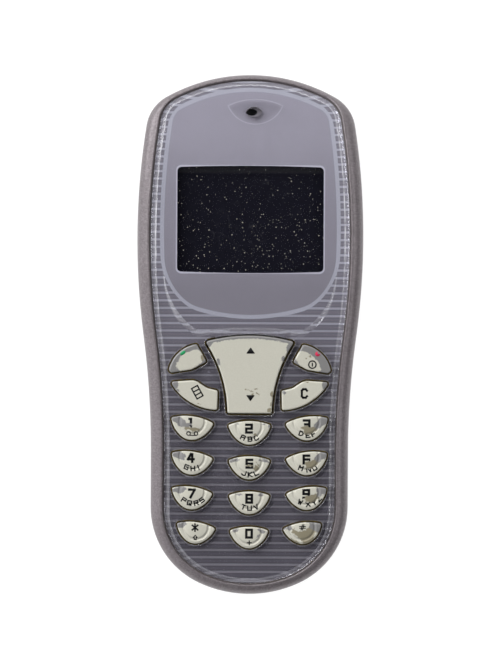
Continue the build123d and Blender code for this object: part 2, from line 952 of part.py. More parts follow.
def display_holder():
    half_width, half_height = glass_width / 2 + holder_gap, glass_height / 2 + holder_gap
    low_y, high_y = window_y - half_height, window_y + half_height
    glass_back = glass_front - glass_depth
    tray = box(-half_width - holder_wall, half_width + holder_wall, low_y - holder_wall,
               high_y + holder_wall, holder_low, glass_front - holder_below_glass)
    tray -= box(-half_width, half_width, low_y, high_y, glass_back, above_all)
    tray -= box(-half_width + holder_ledge, half_width - holder_ledge, low_y + holder_ledge,
                high_y - holder_ledge, holder_low - past, glass_back - holder_floor)
    for x, y in top_bosses:
        tray -= rod(x, y, boss_radius + holder_boss_gap, holder_low - past, above_all)
    return tray


def display_connector():
    holder_y = window_y - holder_reach
    high_y = holder_y - connector_to_holder
    plug_top = board_high + connector_depth
    plug = box(connector_across - connector_length / 2, connector_across + connector_length / 2,
               high_y - connector_width, high_y, board_high, plug_top)
    return plug + box(connector_across - flex_length / 2, connector_across + flex_length / 2,
                      holder_y - flex_reach, holder_y, plug_top, plug_top + flex_depth)


# Sound

speaker_top = front_at(ear_y - speaker_radius, deck_under) - speaker_below_deck


def earpiece_speaker():
    body = rod(ear_x, ear_y, speaker_radius, speaker_top - speaker_depth, speaker_top)
    body = fillet(edges_at(body, speaker_top - speaker_depth), speaker_round)
    return body - rod(ear_x, ear_y, speaker_radius - speaker_rim, speaker_top - speaker_dish, speaker_top)


def earpiece_gasket():
    outer = speaker_radius - ear_gasket_inset
    ring = Pos(ear_x, ear_y) * (Circle(outer) - Circle(outer - ear_gasket_width))
    return below(ring, speaker_top, deck_under)


def microphone():
    return rod(microphone_across, microphone_y, microphone_radius, board_high, board_high + microphone_depth)


def microphone_boot():
    half = microphone_radius + boot_wall
    block = Pos(microphone_across, microphone_y - boot_nose / 2) * Rectangle(2 * half, 2 * half + boot_nose)
    boot = prism(block & plan(side_wall), board_high, board_high + microphone_depth + boot_wall)
    boot -= rod(microphone_across, microphone_y, microphone_radius, board_high - past,
                board_high + microphone_depth)
    return boot - microphone_entry(boot_hole_radius)


def buzzer():
    can = rod(buzzer_x, buzzer_y, buzzer_radius, board_low - buzzer_depth, board_low)
    can = fillet(edges_at(can, board_low - buzzer_depth), buzzer_round)
    return can - rod(buzzer_x, buzzer_y, buzzer_hole_radius, board_low - buzzer_depth,
                     board_low - buzzer_depth + buzzer_hole_depth)


motor_x, motor_y = motor_across, window_y + motor_over_window
motor_z = board_low - motor_radius - motor_gap
motor_end = motor_x + motor_length / 2


def across_rod(x0, x1, y, z, radius):
    return Pos((x0 + x1) / 2, y, z) * Rot(0, 90, 0) * Cylinder(radius, x1 - x0)


def vibration_motor():
    can = across_rod(motor_x - motor_length / 2, motor_end, motor_y, motor_z, motor_radius)
    return can - across_rod(motor_end - shaft_bore_depth, motor_end + past, motor_y, motor_z,
                            shaft_radius + shaft_play)


def vibration_weight():
    start = motor_end + weight_gap
    end = start + weight_length
    weight = across_rod(start, end, motor_y, motor_z, weight_radius)
    weight -= box(start - past, end + past, motor_y - far, motor_y + far, motor_z + weight_flat, motor_z + far)
    weight += across_rod(start, end, motor_y, motor_z, weight_hub_radius)
    return weight + across_rod(motor_end - shaft_inside, end, motor_y, motor_z, shaft_radius)


# Board

def main_board():
    board = prism(board_plan, board_low, board_high)
    for x, y in all_bosses:
        board -= rod(x, y, screw_radius + board_screw_gap, board_low, board_high)
    half = charge_half_width + board_socket_gap
    board -= box(charge_across - half, charge_across + half, -far,
                 charge_front + charge_length + board_socket_gap, board_low, board_high)
    return board


def shield(width, low_y, high_y):
    low, inside = board_low - component_room + shield_gap, width / 2 - shield_wall
    can = box(-width / 2, width / 2, low_y, high_y, low, board_low)
    can = fillet(can.edges().filter_by(Axis.Z), shield_corner)
    return can - box(-inside, inside, low_y + shield_wall, high_y - shield_wall, low + shield_wall, board_low)


def board_chips():
    """Each chip by its middle across and along the phone, its width and its length."""
    chips = Part()
    under_rf = (bay_top_y + card_centre() + card_height / 2) / 2
    under_baseband = (card_centre() - card_height / 2 + end_y + end_screw_above_end) / 2
    for x, y, width, height in [(-6, under_rf, 6, 6), (5, under_rf, 8, 6),
                                (-5, under_baseband, 10, 10), (6.5, under_baseband, 7, 9),
                                (14.5, window_y + 8.5, 5, 5), (0, window_y + 1.8, 4, 6)]:
        chips += box(x - width / 2, x + width / 2, y - height / 2, y + height / 2,
                     board_low - chip_depth, board_low)
    return chips


def sim_holder():
    frame = card_block(card_frame_wall, floor_low + card_frame_gap, board_low)
    frame -= card_block(card_frame_gap, floor_low, card_low + card_depth)
    half, lip_y = card_width / 2 + card_frame_wall, card_centre() + card_lip_from_middle
    return frame + box(-half, half, lip_y, lip_y + card_lip_width, floor_low + card_frame_gap,
                       card_low - card_lip_gap)


def card_block(gap, low, high):
    """A block as large as the subscriber card and a gap round it."""
    y, half_width, half_height = card_centre(), card_width / 2 + gap, card_height / 2 + gap
    return box(-half_width, half_width, y - half_height, y + half_height, low, high)


card_low = floor_low + card_above_floor


def sim_card():
    card = card_block(0, card_low, card_low + card_depth)
    corner = Pos(card_width / 2, card_centre() - card_height / 2, card_low)
    return card - corner * Rot(0, 0, 45) * Box(card_notch, card_notch, 4 * card_depth)


def antenna_place(width, length, low, high):
    face = Pos(0, carrier_y) * Rectangle(width, length)
    return prism(face & plan(side_wall + carrier_side_gap), low, high)


carrier_y = top_y - carrier_below_top - carrier_length / 2
carrier_low = back_wall + carrier_over_back


def antenna_pins(gap, low):
    half_width, half_depth = antenna_pin_width / 2 + gap, antenna_pin_depth / 2 + gap
    y = carrier_y - antenna_pin_below
    return Part() + [box(x - half_width, x + half_width, y - half_depth, y + half_depth, low, board_low)
                     for x in antenna_pins_across]


def antenna_contacts():
    return antenna_pins(0, carrier_low)


def antenna_carrier():
    block = antenna_place(carrier_width, carrier_length, carrier_low, carrier_low + carrier_depth)
    block -= antenna_pins(antenna_pin_gap, 0)
    for side in (-1, 1):
        outside, inside = side * carrier_width / 2, side * (carrier_width / 2 - carrier_foot_width)
        block += box(min(outside, inside), max(outside, inside), carrier_y - carrier_foot_length / 2,
                     carrier_y + carrier_foot_length / 2, carrier_low, board_low)
    return block


def antenna_plate():
    sheet = antenna_place(carrier_width - 2 * antenna_inset, carrier_length - 2 * antenna_inset,
                          carrier_low - antenna_depth, carrier_low)
    half_slit = antenna_slit_width / 2
    return sheet - box(antenna_slit_across - half_slit, antenna_slit_across + half_slit,
                       carrier_y - antenna_slit_below, far, 0, carrier_low)


def backup_cell():
    return rod(cell_across, window_y + cell_over_window, cell_radius, board_low - cell_depth, board_low)


# Battery, contacts and sockets

def battery_pack():
    half = battery_width / 2
    pack = box(-half, half, battery_end_y, bay_top_y, battery_low, battery_low + battery_depth)
    pack = fillet(pack.edges().filter_by(Axis.Z), battery_corner)
    low = battery_low + pad_above_back
    for x in contact_places:
        pack -= box(x - pad_width / 2, x + pad_width / 2, bay_top_y - pad_depth, bay_top_y + past,
                    low, low + pad_height)
    return pack


contact_places = [-contact_pitch, 0, contact_pitch]


def battery_contacts():
    low = battery_low + contact_above_back
    back = cover_top_y + seam + bay_wall
    front = cover_top_y + contact_front_gap
    half = contact_block_width / 2
    block = box(-half, half, front, back + contact_block_reach, low, board_low)
    spring_low = low + contact_over_block
    for x in contact_places:
        block += box(x - contact_width / 2, x + contact_width / 2, bay_top_y + contact_play, front,
                     spring_low, spring_low + contact_height)
    return block


def casing_screws():
    screws = Part()
    for x, y in all_bosses:
        screw = rod(x, y, screw_head_radius, floor_high - screw_head_depth, floor_high)
        screw += rod(x, y, screw_radius, floor_high, screw_tip)
        star = Pos(x, y) * RegularPolygon(screw_star_radius, 6)
        head_low = floor_high - screw_head_depth
        screws += screw - prism(star, head_low, head_low + screw_star_depth)
    return screws


def thread_inserts():
    rings = Part()
    for x, y in all_bosses:
        outer = rod(x, y, insert_radius - insert_play, board_high, insert_top - insert_below_top)
        rings += outer - rod(x, y, screw_radius + insert_play, board_high, insert_top)
    return rings


def charge_socket():
    half = charge_half_width
    body = box(charge_across - half, charge_across + half, charge_front, charge_front + charge_length,
               charge_z - charge_bore - charge_floor, charge_z + charge_bore + charge_roof)
    length = charge_depth + 2 * socket_start
    hole = Pos(charge_across, charge_front + length / 2 - 2 * socket_start, charge_z) * Rot(90, 0, 0)
    return body - hole * Cylinder(charge_bore, length)


def headset_socket():
    half = headset_half_width
    front = -side_at(headset_y - half) + side_wall + socket_gap
    body = box(front, front + headset_length, headset_y - half, headset_y + half,
               board_high, headset_z + half)
    return body - across_rod(front - past, front + headset_depth, headset_y, headset_z, headset_bore)


parts["front_casing"] = front_casing()
parts["faceplate"] = faceplate()
parts["decor_film"] = decor_film()
for key_name in outlines:
    parts[key_name] = key_cap(key_name)
parts["keypad_mat"] = keypad_mat()
parts["dome_sheet"] = dome_sheet()
parts["keypad_leds"] = keypad_leds()
parts["display_glass"] = display_glass()
parts["display_gasket"] = display_gasket()
parts["display_holder"] = display_holder()
parts["display_connector"] = display_connector()
parts["earpiece_speaker"] = earpiece_speaker()
parts["earpiece_gasket"] = earpiece_gasket()
parts["microphone"] = microphone()
parts["microphone_boot"] = microphone_boot()
parts["buzzer"] = buzzer()
parts["vibration_motor"] = vibration_motor()
parts["vibration_weight"] = vibration_weight()
parts["main_board"] = main_board()
parts["rf_shield_can"] = shield(rf_shield_width, card_centre() + card_height / 2 + shield_to_card,
                                bay_top_y - rf_shield_below_bay_top)
parts["baseband_shield_can"] = shield(baseband_shield_width,
                                      end_y + end_screw_above_end + baseband_shield_over_screws,
                                      card_centre() - card_height / 2 - shield_to_card)
parts["board_chips"] = board_chips()
parts["sim_holder"] = sim_holder()
parts["sim_card"] = sim_card()
parts["antenna_carrier"] = antenna_carrier()
parts["antenna_plate"] = antenna_plate()
parts["antenna_contacts"] = antenna_contacts()
parts["backup_cell"] = backup_cell()
parts["rear_casing"] = rear_casing()
parts["battery_cover"] = battery_cover()
parts["battery_pack"] = battery_pack()
parts["battery_contacts"] = battery_contacts()
parts["casing_screws"] = casing_screws()
parts["thread_inserts"] = thread_inserts()
parts["charge_socket"] = charge_socket()
parts["headset_socket"] = headset_socket()

os.makedirs("parts", exist_ok=True)
for node, shape in parts.items():
    export_step(shape, f"parts/{node}.step")
print("pieces", len(parts), "length", round(body_length, 2), "width", round(2 * half_hips, 2),
      "depth", round(front_z, 2))
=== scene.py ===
import bpy
import bmesh
import functools
import math
from mathutils import Matrix, Vector, noise
from mathutils.bvhtree import BVHTree


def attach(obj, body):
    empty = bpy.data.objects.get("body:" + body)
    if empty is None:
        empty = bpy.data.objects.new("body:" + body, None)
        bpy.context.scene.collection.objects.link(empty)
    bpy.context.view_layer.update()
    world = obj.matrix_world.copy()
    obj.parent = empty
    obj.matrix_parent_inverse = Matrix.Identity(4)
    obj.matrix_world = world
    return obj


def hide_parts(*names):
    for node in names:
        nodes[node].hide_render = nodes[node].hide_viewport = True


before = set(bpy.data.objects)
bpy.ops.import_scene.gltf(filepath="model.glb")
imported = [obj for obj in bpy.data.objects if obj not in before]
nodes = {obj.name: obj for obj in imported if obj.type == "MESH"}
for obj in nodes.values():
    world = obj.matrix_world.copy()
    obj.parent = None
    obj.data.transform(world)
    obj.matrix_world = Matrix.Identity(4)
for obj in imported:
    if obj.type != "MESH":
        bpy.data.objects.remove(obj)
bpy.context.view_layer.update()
scene = bpy.context.scene
mm = 0.001
print("frame loaded:", len(nodes), "nodes")


# Node and mesh helpers

def linearColour(code):  # from an sRGB hex code
    parts = [int(code[i:i + 2], 16) / 255 for i in (1, 3, 5)]
    return (*[c / 12.92 if c <= 0.04045 else ((c + 0.055) / 1.055) ** 2.4 for c in parts], 1.0)


def addNode(tree, kind, inputs=None, **settings):
    node = tree.nodes.new("ShaderNode" + kind)
    for key, value in settings.items():
        setattr(node, key, value)
    for key, value in (inputs or {}).items():
        if isinstance(value, bpy.types.Node):  # a node stands for its first output in use
            value = next(output for output in value.outputs if output.enabled)
        if isinstance(value, bpy.types.NodeSocket):
            tree.links.new(value, node.inputs[key])
        else:
            node.inputs[key].default_value = linearColour(value) if isinstance(value, str) else value
    return node


def startMaterial(name, **settings):
    material = bpy.data.materials.new(name)
    material.use_nodes = True
    tree = material.node_tree
    shader = tree.nodes["Principled BSDF"]
    for key, value in settings.items():  # constants go straight on the shader's sockets
        socket = shader.inputs[key.replace("_", " ")]
        socket.default_value = linearColour(value) if isinstance(value, str) else value
    add = functools.partial(addNode, tree)
    place = add("TexCoord").outputs["Object"]
    point = add("VectorMath", {0: place, "Scale": 1 / mm}, operation="SCALE")
    return material, shader, add, point


def wire(material, links):
    for socket, node in links.items():
        output = next(output for output in node.outputs if output.enabled)
        material.node_tree.links.new(output, socket)


# How far apart vertices merge, and how level a wall's normal is. Angles in degrees.
shell = {"mergeMm": 0.002, "sharpAngle": 50, "steep": 0.45, "lookFromMm": 0.02}


def addPiece(name, shape, materials, body, replaced=(), sharpAngle=shell["sharpAngle"]):
    mesh = bpy.data.meshes.new(name)
    shape.to_mesh(mesh)
    shape.free()
    for material in materials:
        mesh.materials.append(material)
    if "custom_normal" in mesh.attributes:  # those of the unmerged mesh
        mesh.attributes.remove(mesh.attributes["custom_normal"])
    mesh.shade_smooth()
    mesh.set_sharp_from_angle(angle=math.radians(sharpAngle))
    piece = bpy.data.objects.new(name, mesh)
    scene.collection.objects.link(piece)
    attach(piece, body)
    if replaced:
        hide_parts(*replaced)
    return piece


def mergedCopy(node):
    shape = bmesh.new()
    shape.from_mesh(nodes[node].data)
    bmesh.ops.remove_doubles(shape, verts=shape.verts, dist=shell["mergeMm"] * mm)
    bmesh.ops.dissolve_degenerate(shape, edges=shape.edges, dist=shell["mergeMm"] * mm)
    shape.normal_update()
    return shape


def facesAcross(face, surface):  # a wall that looks at another wall of the same piece, as in a gap
    start = face.calc_center_median() + face.normal * shell["lookFromMm"] * mm
    return abs(face.normal.z) < shell["steep"] and surface.ray_cast(start, face.normal)[0] is not None


def smoothCopy(node, materials, body, isGrimy=None):
    shape = mergedCopy(node)
    if isGrimy:
        surface = BVHTree.FromBMesh(shape)
        for face in shape.faces:
            face.material_index = int(isGrimy(face, surface))
    piece = addPiece(node + "_shell", shape, materials, body, [node])
    weighted = piece.modifiers.new("flatFacesLead", "WEIGHTED_NORMAL")
    weighted.keep_sharp = True
    return piece


# Camera, floor and light

# A long lens straight above, as far off as gives this size of a pixel at this level. Lengths in mm.
view = {"pixelMm": 0.2021, "pixelsHigh": 670, "lens": 300.0, "sensor": 36.0, "clipEndM": 50.0,
        "centre": (0.22, -0.05), "level": 15.0, "rollDegrees": 0.26}


def addCamera():
    data = bpy.data.cameras.new("viewCamera")
    data.lens = view["lens"]
    data.sensor_width = view["sensor"]
    data.clip_end = view["clipEndM"]
    distance = view["pixelMm"] * view["pixelsHigh"] * view["lens"] / view["sensor"]
    camera = bpy.data.objects.new("viewCamera", data)
    x, y = view["centre"]
    camera.location = Vector((x, y, view["level"] + distance)) * mm
    camera.rotation_euler = (0, 0, math.radians(view["rollDegrees"]))
    scene.collection.objects.link(camera)
    scene.camera = camera


# A light tent: bright walls all round, a dark opening overhead for the camera, and strip lamps for
# the sparkle. A lamp has its place and size in m and its power in W.
light = {"horizon": "#fdfdff", "opening": "#1c1c20", "openFrom": 0.80, "openTo": 0.94,
         "brightSide": (-0.70, 0.71, 0.0), "dimmest": 0.0, "brightest": 1.64,
         "strips": {"leftStrip": ((-0.33, 0.20, 0.70), (0.60, 0.07), 1.2),
                    "farStrip": ((-0.16, 0.50, 0.62), (0.70, 0.06), 0.6),
                    "sideStrip": ((-0.58, 0.46, 0.34), (0.60, 0.20), 1.8),
                    "rightStrip": ((0.50, -0.02, 0.61), (0.70, 0.04), 0.75)},
         "paper": "#f4f4f4", "white": "#ffffff", "floorOwnLight": 0.95, "floorShade": 0.16,
         "floorRadius": 4.0, "floorSides": 64, "floorDropMm": 0.05}


def addLamp(name, place, size, power):
    data = bpy.data.lights.new(name, "AREA")
    data.shape = "RECTANGLE"
    data.size, data.size_y = size
    data.energy = power
    lamp = bpy.data.objects.new(name, data)
    lamp.location = place
    lamp.rotation_euler = (-Vector(place)).to_track_quat("-Z", "Y").to_euler()
    scene.collection.objects.link(lamp)


def addWorld():
    world = bpy.data.worlds.new("lightTent")
    world.use_nodes = True
    scene.world = world
    tree = world.node_tree
    tree.nodes.clear()
    add = functools.partial(addNode, tree)
    way = add("TexCoord").outputs["Generated"]
    height = add("SeparateXYZ", {0: way}).outputs["Z"]
    overhead = add("MapRange", {0: height, 1: light["openFrom"], 2: light["openTo"]},
                   interpolation_type="SMOOTHSTEP")
    colour = add("Mix", {0: overhead, 6: light["horizon"], 7: light["opening"]}, data_type="RGBA")
    lean = add("VectorMath", {0: way, 1: light["brightSide"]}, operation="DOT_PRODUCT")
    strength = add("MapRange", {0: lean, 1: -1.0, 2: 1.0, 3: light["dimmest"], 4: light["brightest"]})
    tent = add("Background", {"Color": colour, "Strength": strength})
    seen = add("Background", {"Color": light["white"], "Strength": 1.0})
    isCamera = add("LightPath").outputs["Is Camera Ray"]
    add("OutputWorld", {"Surface": add("MixShader", {0: isCamera, 1: tent, 2: seen})})


def addFloor():
    # matt white paper that shines by its own light to what sees it, so that it is white but for the shadow
    material = bpy.data.materials.new("whitePaperFloor")
    material.use_nodes = True
    tree = material.node_tree
    tree.nodes.clear()
    add = functools.partial(addNode, tree)
    paper = add("BsdfDiffuse", {"Color": light["paper"]})
    shaded = add("BsdfDiffuse", {"Color": (light["floorShade"],) * 3 + (1.0,)})
    own = add("Emission", {"Color": light["white"], "Strength": light["floorOwnLight"]})
    seen = add("AddShader", {0: shaded, 1: own})
    path = add("LightPath")
    direct = add("Math", {0: path.outputs["Is Camera Ray"], 1: path.outputs["Is Transmission Ray"]},
                 operation="MAXIMUM")
    direct = add("Math", {0: direct, 1: path.outputs["Is Glossy Ray"]}, operation="MAXIMUM")
    sheet = add("MixShader", {0: direct, 1: paper, 2: seen})
    under = add("NewGeometry").outputs["Backfacing"]  # from below, the sheet doesn't hide the back
    add("OutputMaterial", {"Surface": add("MixShader", {0: under, 1: sheet, 2: add("BsdfTransparent")})})
    shape = bmesh.new()
    place = Matrix.Translation((0, 0, -light["floorDropMm"] * mm))
    bmesh.ops.create_circle(shape, cap_ends=True, radius=light["floorRadius"],
                            segments=light["floorSides"], matrix=place)
    mesh = bpy.data.meshes.new("floor")
    shape.to_mesh(mesh)
    shape.free()
    mesh.materials.append(material)
    floor = bpy.data.objects.new("floor", mesh)
    scene.collection.objects.link(floor)


addCamera()
for lampName, settings in light["strips"].items():
    addLamp(lampName, *settings)
addWorld()
addFloor()
scene.view_settings.view_transform = "Standard"
print("camera, floor and light set")


# Casing and battery cover. Blotches have their number to the mm, detail, roughness, the noise at which
# they start and are full, their share and tone. Heights are in mm.
lacquer = {"flakesPerMm": 5.0, "flakes": ("#6c6568", "#888184"), "flakeHeight": 0.004,
           "blotches": [(0.9, 3.0, 0.5, 0.35, 0.7, 0.25, "#675f62"),
                        (0.35, 6.0, 0.7, 0.70, 0.76, 0.5, "#a9a2a0")]}


def addBlotches(add, point, colour, blotches):  # patches, scuffs or polish over a colour
    for perMm, detail, roughness, start, full, share, tone in blotches:
        spots = add("TexNoise", {"Vector": point, "Scale": perMm, "Detail": detail, "Roughness": roughness})
        shown = add("MapRange", {0: spots, 1: start, 2: full, 4: share})
        colour = add("Mix", {0: shown, 6: colour, 7: tone}, data_type="RGBA")
    return colour


def makeCasingPaint():
    # ABS sprayed with warm grey metallic lacquer: fine aluminium flakes glint under a satin coat
    material, shader, add, point = startMaterial("metallicLacquerOnAbs", Metallic=0.4, Roughness=0.40,
                                                 Coat_Weight=0.25, Coat_Roughness=0.25)
    flakes = add("TexVoronoi", {"Vector": point, "Scale": lacquer["flakesPerMm"]})
    glint = add("SeparateColor", {0: flakes.outputs["Color"]})
    dark, pale = lacquer["flakes"]
    body = add("Mix", {0: glint, 6: dark, 7: pale}, data_type="RGBA")
    body = addBlotches(add, point, body, lacquer["blotches"])
    bump = add("Bump", {"Height": glint, "Distance": lacquer["flakeHeight"] * mm})
    wire(material, {shader.inputs["Base Color"]: body, shader.inputs["Normal"]: bump})
    return material


rear = {"grainPerMm": 3.2, "grainHeight": 0.03, "grainStrength": 0.6, "grain": ("#6b6466", "#7d7577"),
        "polish": [(0.12, 5.0, 0.5, 0.55, 0.75, 0.35, "#8d8585")]}


def makeRearPlastic():
    # the same colour moulded in ABS with a spark-eroded grain, duller and a little darker
    material, shader, add, point = startMaterial("grainedAbs", Roughness=0.55)
    grain = add("TexNoise", {"Vector": point, "Scale": rear["grainPerMm"], "Detail": 4.0})
    dark, pale = rear["grain"]
    body = add("Mix", {0: grain, 6: dark, 7: pale}, data_type="RGBA")
    body = addBlotches(add, point, body, rear["polish"])
    bump = add("Bump", {"Height": grain, "Distance": rear["grainHeight"] * mm,
                        "Strength": rear["grainStrength"]})
    wire(material, {shader.inputs["Base Color"]: body, shader.inputs["Normal"]: bump})
    return material


grease = {"lumpsPerMm": 2.0, "thinFrom": 0.3, "thickFrom": 0.7, "thin": "#231b04", "thick": "#574708",
          "lumpHeight": 0.03}


def makeGrime():
    # skin grease and dust packed into the gaps: olive brown, dull, a little lumpy
    material, shader, add, point = startMaterial("gapGrime", Roughness=0.7, Specular_IOR_Level=0.3)
    lumps = add("TexNoise", {"Vector": point, "Scale": grease["lumpsPerMm"], "Detail": 4.0})
    spread = add("MapRange", {0: lumps, 1: grease["thinFrom"], 2: grease["thickFrom"]})
    colour = add("Mix", {0: spread, 6: grease["thin"], 7: grease["thick"]}, data_type="RGBA")
    bump = add("Bump", {"Height": lumps, "Distance": grease["lumpHeight"] * mm})
    wire(material, {shader.inputs["Base Color"]: colour, shader.inputs["Normal"]: bump})
    return material


grime = makeGrime()
rearPlastic = makeRearPlastic()
smoothCopy("front_casing", [makeCasingPaint(), grime], "handset", facesAcross)
smoothCopy("rear_casing", [rearPlastic], "handset")
smoothCopy("battery_cover", [rearPlastic], "battery_cover")
print("casings painted")


# Clear faceplate and the film printed under it. Both follow the front: flat over the display,
# sloping gently down over the keys and towards the top end. Lengths in mm, slopes in degrees.
# A face is part of the front within sheetTilt of it, and a round edge blends in within blendTilt.
front = {"keySlope": 4.5, "topSlope": 9.0, "keyBend": 12.0, "topBend": 34.0, "bendRadius": 80.0,
         "sheetTilt": 6.0, "blendTilt": 45.0, "creaseTilt": 14.0, "raisedDepth": 0.03, "filmDrop": 0.05,
         "dip": (-5.0, 42.0, 6.8, 48.0), "dipTilt": 1.0}


def frontNormal(y):
    keyReach = front["bendRadius"] * math.tan(math.radians(front["keySlope"] / 2))
    topReach = front["bendRadius"] * math.tan(math.radians(front["topSlope"] / 2))
    keyShare = min(max((front["keyBend"] + keyReach - y) / (2 * keyReach), 0), 1)
    topShare = min(max((y - front["topBend"] + topReach) / (2 * topReach), 0), 1)
    turn = math.radians(front["topSlope"] * topShare - front["keySlope"] * keyShare)
    return Vector((0, math.sin(turn), math.cos(turn)))


def evenSheets(piece):
    # faces that follow the front, and the round edges that run into them, take the front's own normals
    mesh = piece.data
    raised = max(v.co.z for v in mesh.vertices) - front["raisedDepth"] * mm
    sheetNormals = {}
    for polygon in mesh.polygons:
        side = 1 if polygon.normal.z > 0 else -1
        if abs(polygon.normal.z) < math.cos(math.radians(front["topSlope"] + front["sheetTilt"])):
            continue
        left, low, right, high = front["dip"]  # the shallow dip round the earpiece keeps its own slopes
        isInDip = left < polygon.center.x / mm < right and low < polygon.center.y / mm < high
        for index in polygon.vertices:
            place = mesh.vertices[index].co
            isRaised = side > 0 and place.z > raised and place.y < front["keyBend"] * mm
            normal = Vector((0, 0, 1)) if isRaised else side * frontNormal(place.y / mm)
            if polygon.normal.angle(normal) < math.radians(front["dipTilt" if isInDip else "sheetTilt"]):
                sheetNormals.setdefault(index, []).append(normal)
    normals = [corner.vector.copy() for corner in mesh.corner_normals]
    for polygon in mesh.polygons:
        for index in polygon.loop_indices:
            for normal in sheetNormals.get(mesh.loops[index].vertex_index, []):
                if polygon.normal.angle(normal) < math.radians(front["blendTilt"]):
                    normals[index] = normal
    mesh.normals_split_custom_set(normals)


# Marks of the plate: hairline scratches from wear, and painted highlights: pale edges round the key holes
# and a pale band where the outer edges start to fall away, weaker over the keys. Hairs: to the mm, detail,
# width.
plate = {"hairs": (0.11, 1.0, 0.0008), "areasPerMm": 0.4, "areaFrom": 0.52, "areaTo": 0.62,
         "hairShare": 0.06, "holeTilt": (10.0, 66.0), "holeHighlightShare": 0.12, "levelBelow": 0.05,
         "lookFromMm": 0.35, "bandRise": (0.890, 0.925), "bandFall": (0.984, 0.972), "patchesPerMm": 0.5,
         "patchFrom": 0.35, "patchTo": 0.65, "bandShares": (0.15, 0.45), "fadeFrom": 18.0, "fadeTo": 0.0,
         "lowShare": 0.08, "paleScratchAndHighlight": "#e8e8ee"}


def plateFaceKind(face, surface):  # 0 clear, 1 grimy, 2 painted highlight round a key hole
    if facesAcross(face, surface):
        return 1
    middle = face.calc_center_median()
    tilt = math.degrees(face.normal.angle(frontNormal(middle.y / mm)))
    outward = Vector((face.normal.x, face.normal.y, 0))
    if face.normal.z < 0 or outward.length < plate["levelBelow"]:
        return 0
    outward.normalize()  # a hole's edge has the far wall of the hole before it
    start = middle + (outward - Vector((0, 0, 1))) * plate["lookFromMm"] * mm
    isHole = surface.ray_cast(start, outward)[0] is not None
    return 2 if isHole and plate["holeTilt"][0] < tilt < plate["holeTilt"][1] else 0


def addSheet(node, materials, finishOf=None, drop=0.0):
    shape = mergedCopy(node)
    for vert in shape.verts:
        if vert.normal.z > 0:
            vert.co.z -= drop * mm
    if finishOf:
        surface = BVHTree.FromBMesh(shape)
        for face in shape.faces:
            face.material_index = finishOf(face, surface)
    shape.normal_update()
    creases = [e.index for e in shape.edges if e.is_manifold and not e.is_convex
               and e.calc_face_angle(0) > math.radians(front["creaseTilt"])]
    piece = addPiece(node + "_shell", shape, materials, "handset", [node])
    for index in creases:
        piece.data.edges[index].use_edge_sharp = True
    evenSheets(piece)


def apartFrom(add, value, middle):
    apart = add("Math", {0: value, 1: middle}, operation="SUBTRACT")
    return add("Math", {0: apart}, operation="ABSOLUTE")


def hairlines(add, point, perMm, detail, width):  # thin lines that curl, 1 on a line
    curl = add("TexNoise", {"Vector": point, "Scale": perMm, "Detail": detail})
    return add("Math", {0: apartFrom(add, curl, 0.5), 1: width}, operation="LESS_THAN")


def makeClearPlate(name, holeHighlight):
    # injection moulded acrylic, polished: the print shows through it and its rounded edge bends the light.
    # Years in a pocket have left hairline scratches. Pale painted highlights lie on the edges of the key
    # holes and in a band where the edge starts to fall away.
    material, shader, add, point = startMaterial(name, Base_Color="#fbfbff", Roughness=0.03, IOR=1.49,
                                                 Transmission_Weight=1.0, Specular_IOR_Level=0.9)
    hair = hairlines(add, point, *plate["hairs"])
    areas = add("TexNoise", {"Vector": point, "Scale": plate["areasPerMm"], "Detail": 2.0})
    scratched = add("MapRange", {0: areas, 1: plate["areaFrom"], 2: plate["areaTo"], 4: plate["hairShare"]})
    # painted highlight: a pale share on the rounded edges of the key holes, added to the scratches
    share = add("Math", {0: hair, 1: scratched, 2: holeHighlight}, operation="MULTIPLY_ADD")

    # painted highlight: a pale band where the round edge starts to fall away, in patches, weaker towards the
    # bottom
    upward = add("SeparateXYZ", {0: add("TexCoord").outputs["Normal"]}).outputs["Z"]
    ends = [add("MapRange", {0: upward, 1: none, 2: full}, interpolation_type="SMOOTHSTEP")
            for none, full in (plate["bandRise"], plate["bandFall"])]
    band = add("Math", {0: ends[0], 1: ends[1]}, operation="MULTIPLY")
    least, most = plate["bandShares"]
    patches = add("TexNoise", {"Vector": point, "Scale": plate["patchesPerMm"], "Detail": 3.0})
    patchy = add("MapRange", {0: patches, 1: plate["patchFrom"], 2: plate["patchTo"], 3: least, 4: most})
    y = add("SeparateXYZ", {0: point}).outputs["Y"]
    lessBelow = add("MapRange", {0: y, 1: plate["fadeFrom"], 2: plate["fadeTo"], 3: 1.0,
                                 4: plate["lowShare"]})
    patchy = add("Math", {0: patchy, 1: lessBelow}, operation="MULTIPLY")
    share = add("Math", {0: band, 1: patchy, 2: share}, operation="MULTIPLY_ADD")
    body = add("MixShader", {0: share, 1: shader, 2: add("BsdfDiffuse", {"Color": plate["paleScratchAndHighlight"]})})
    path = add("LightPath")
    through = add("Math", {0: path.outputs["Is Shadow Ray"], 1: path.outputs["Is Diffuse Ray"]},
                  operation="MAXIMUM")
    mix = add("MixShader", {0: through, 1: body, 2: add("BsdfTransparent")})
    wire(material, {material.node_tree.nodes["Material Output"].inputs["Surface"]: mix})
    return material


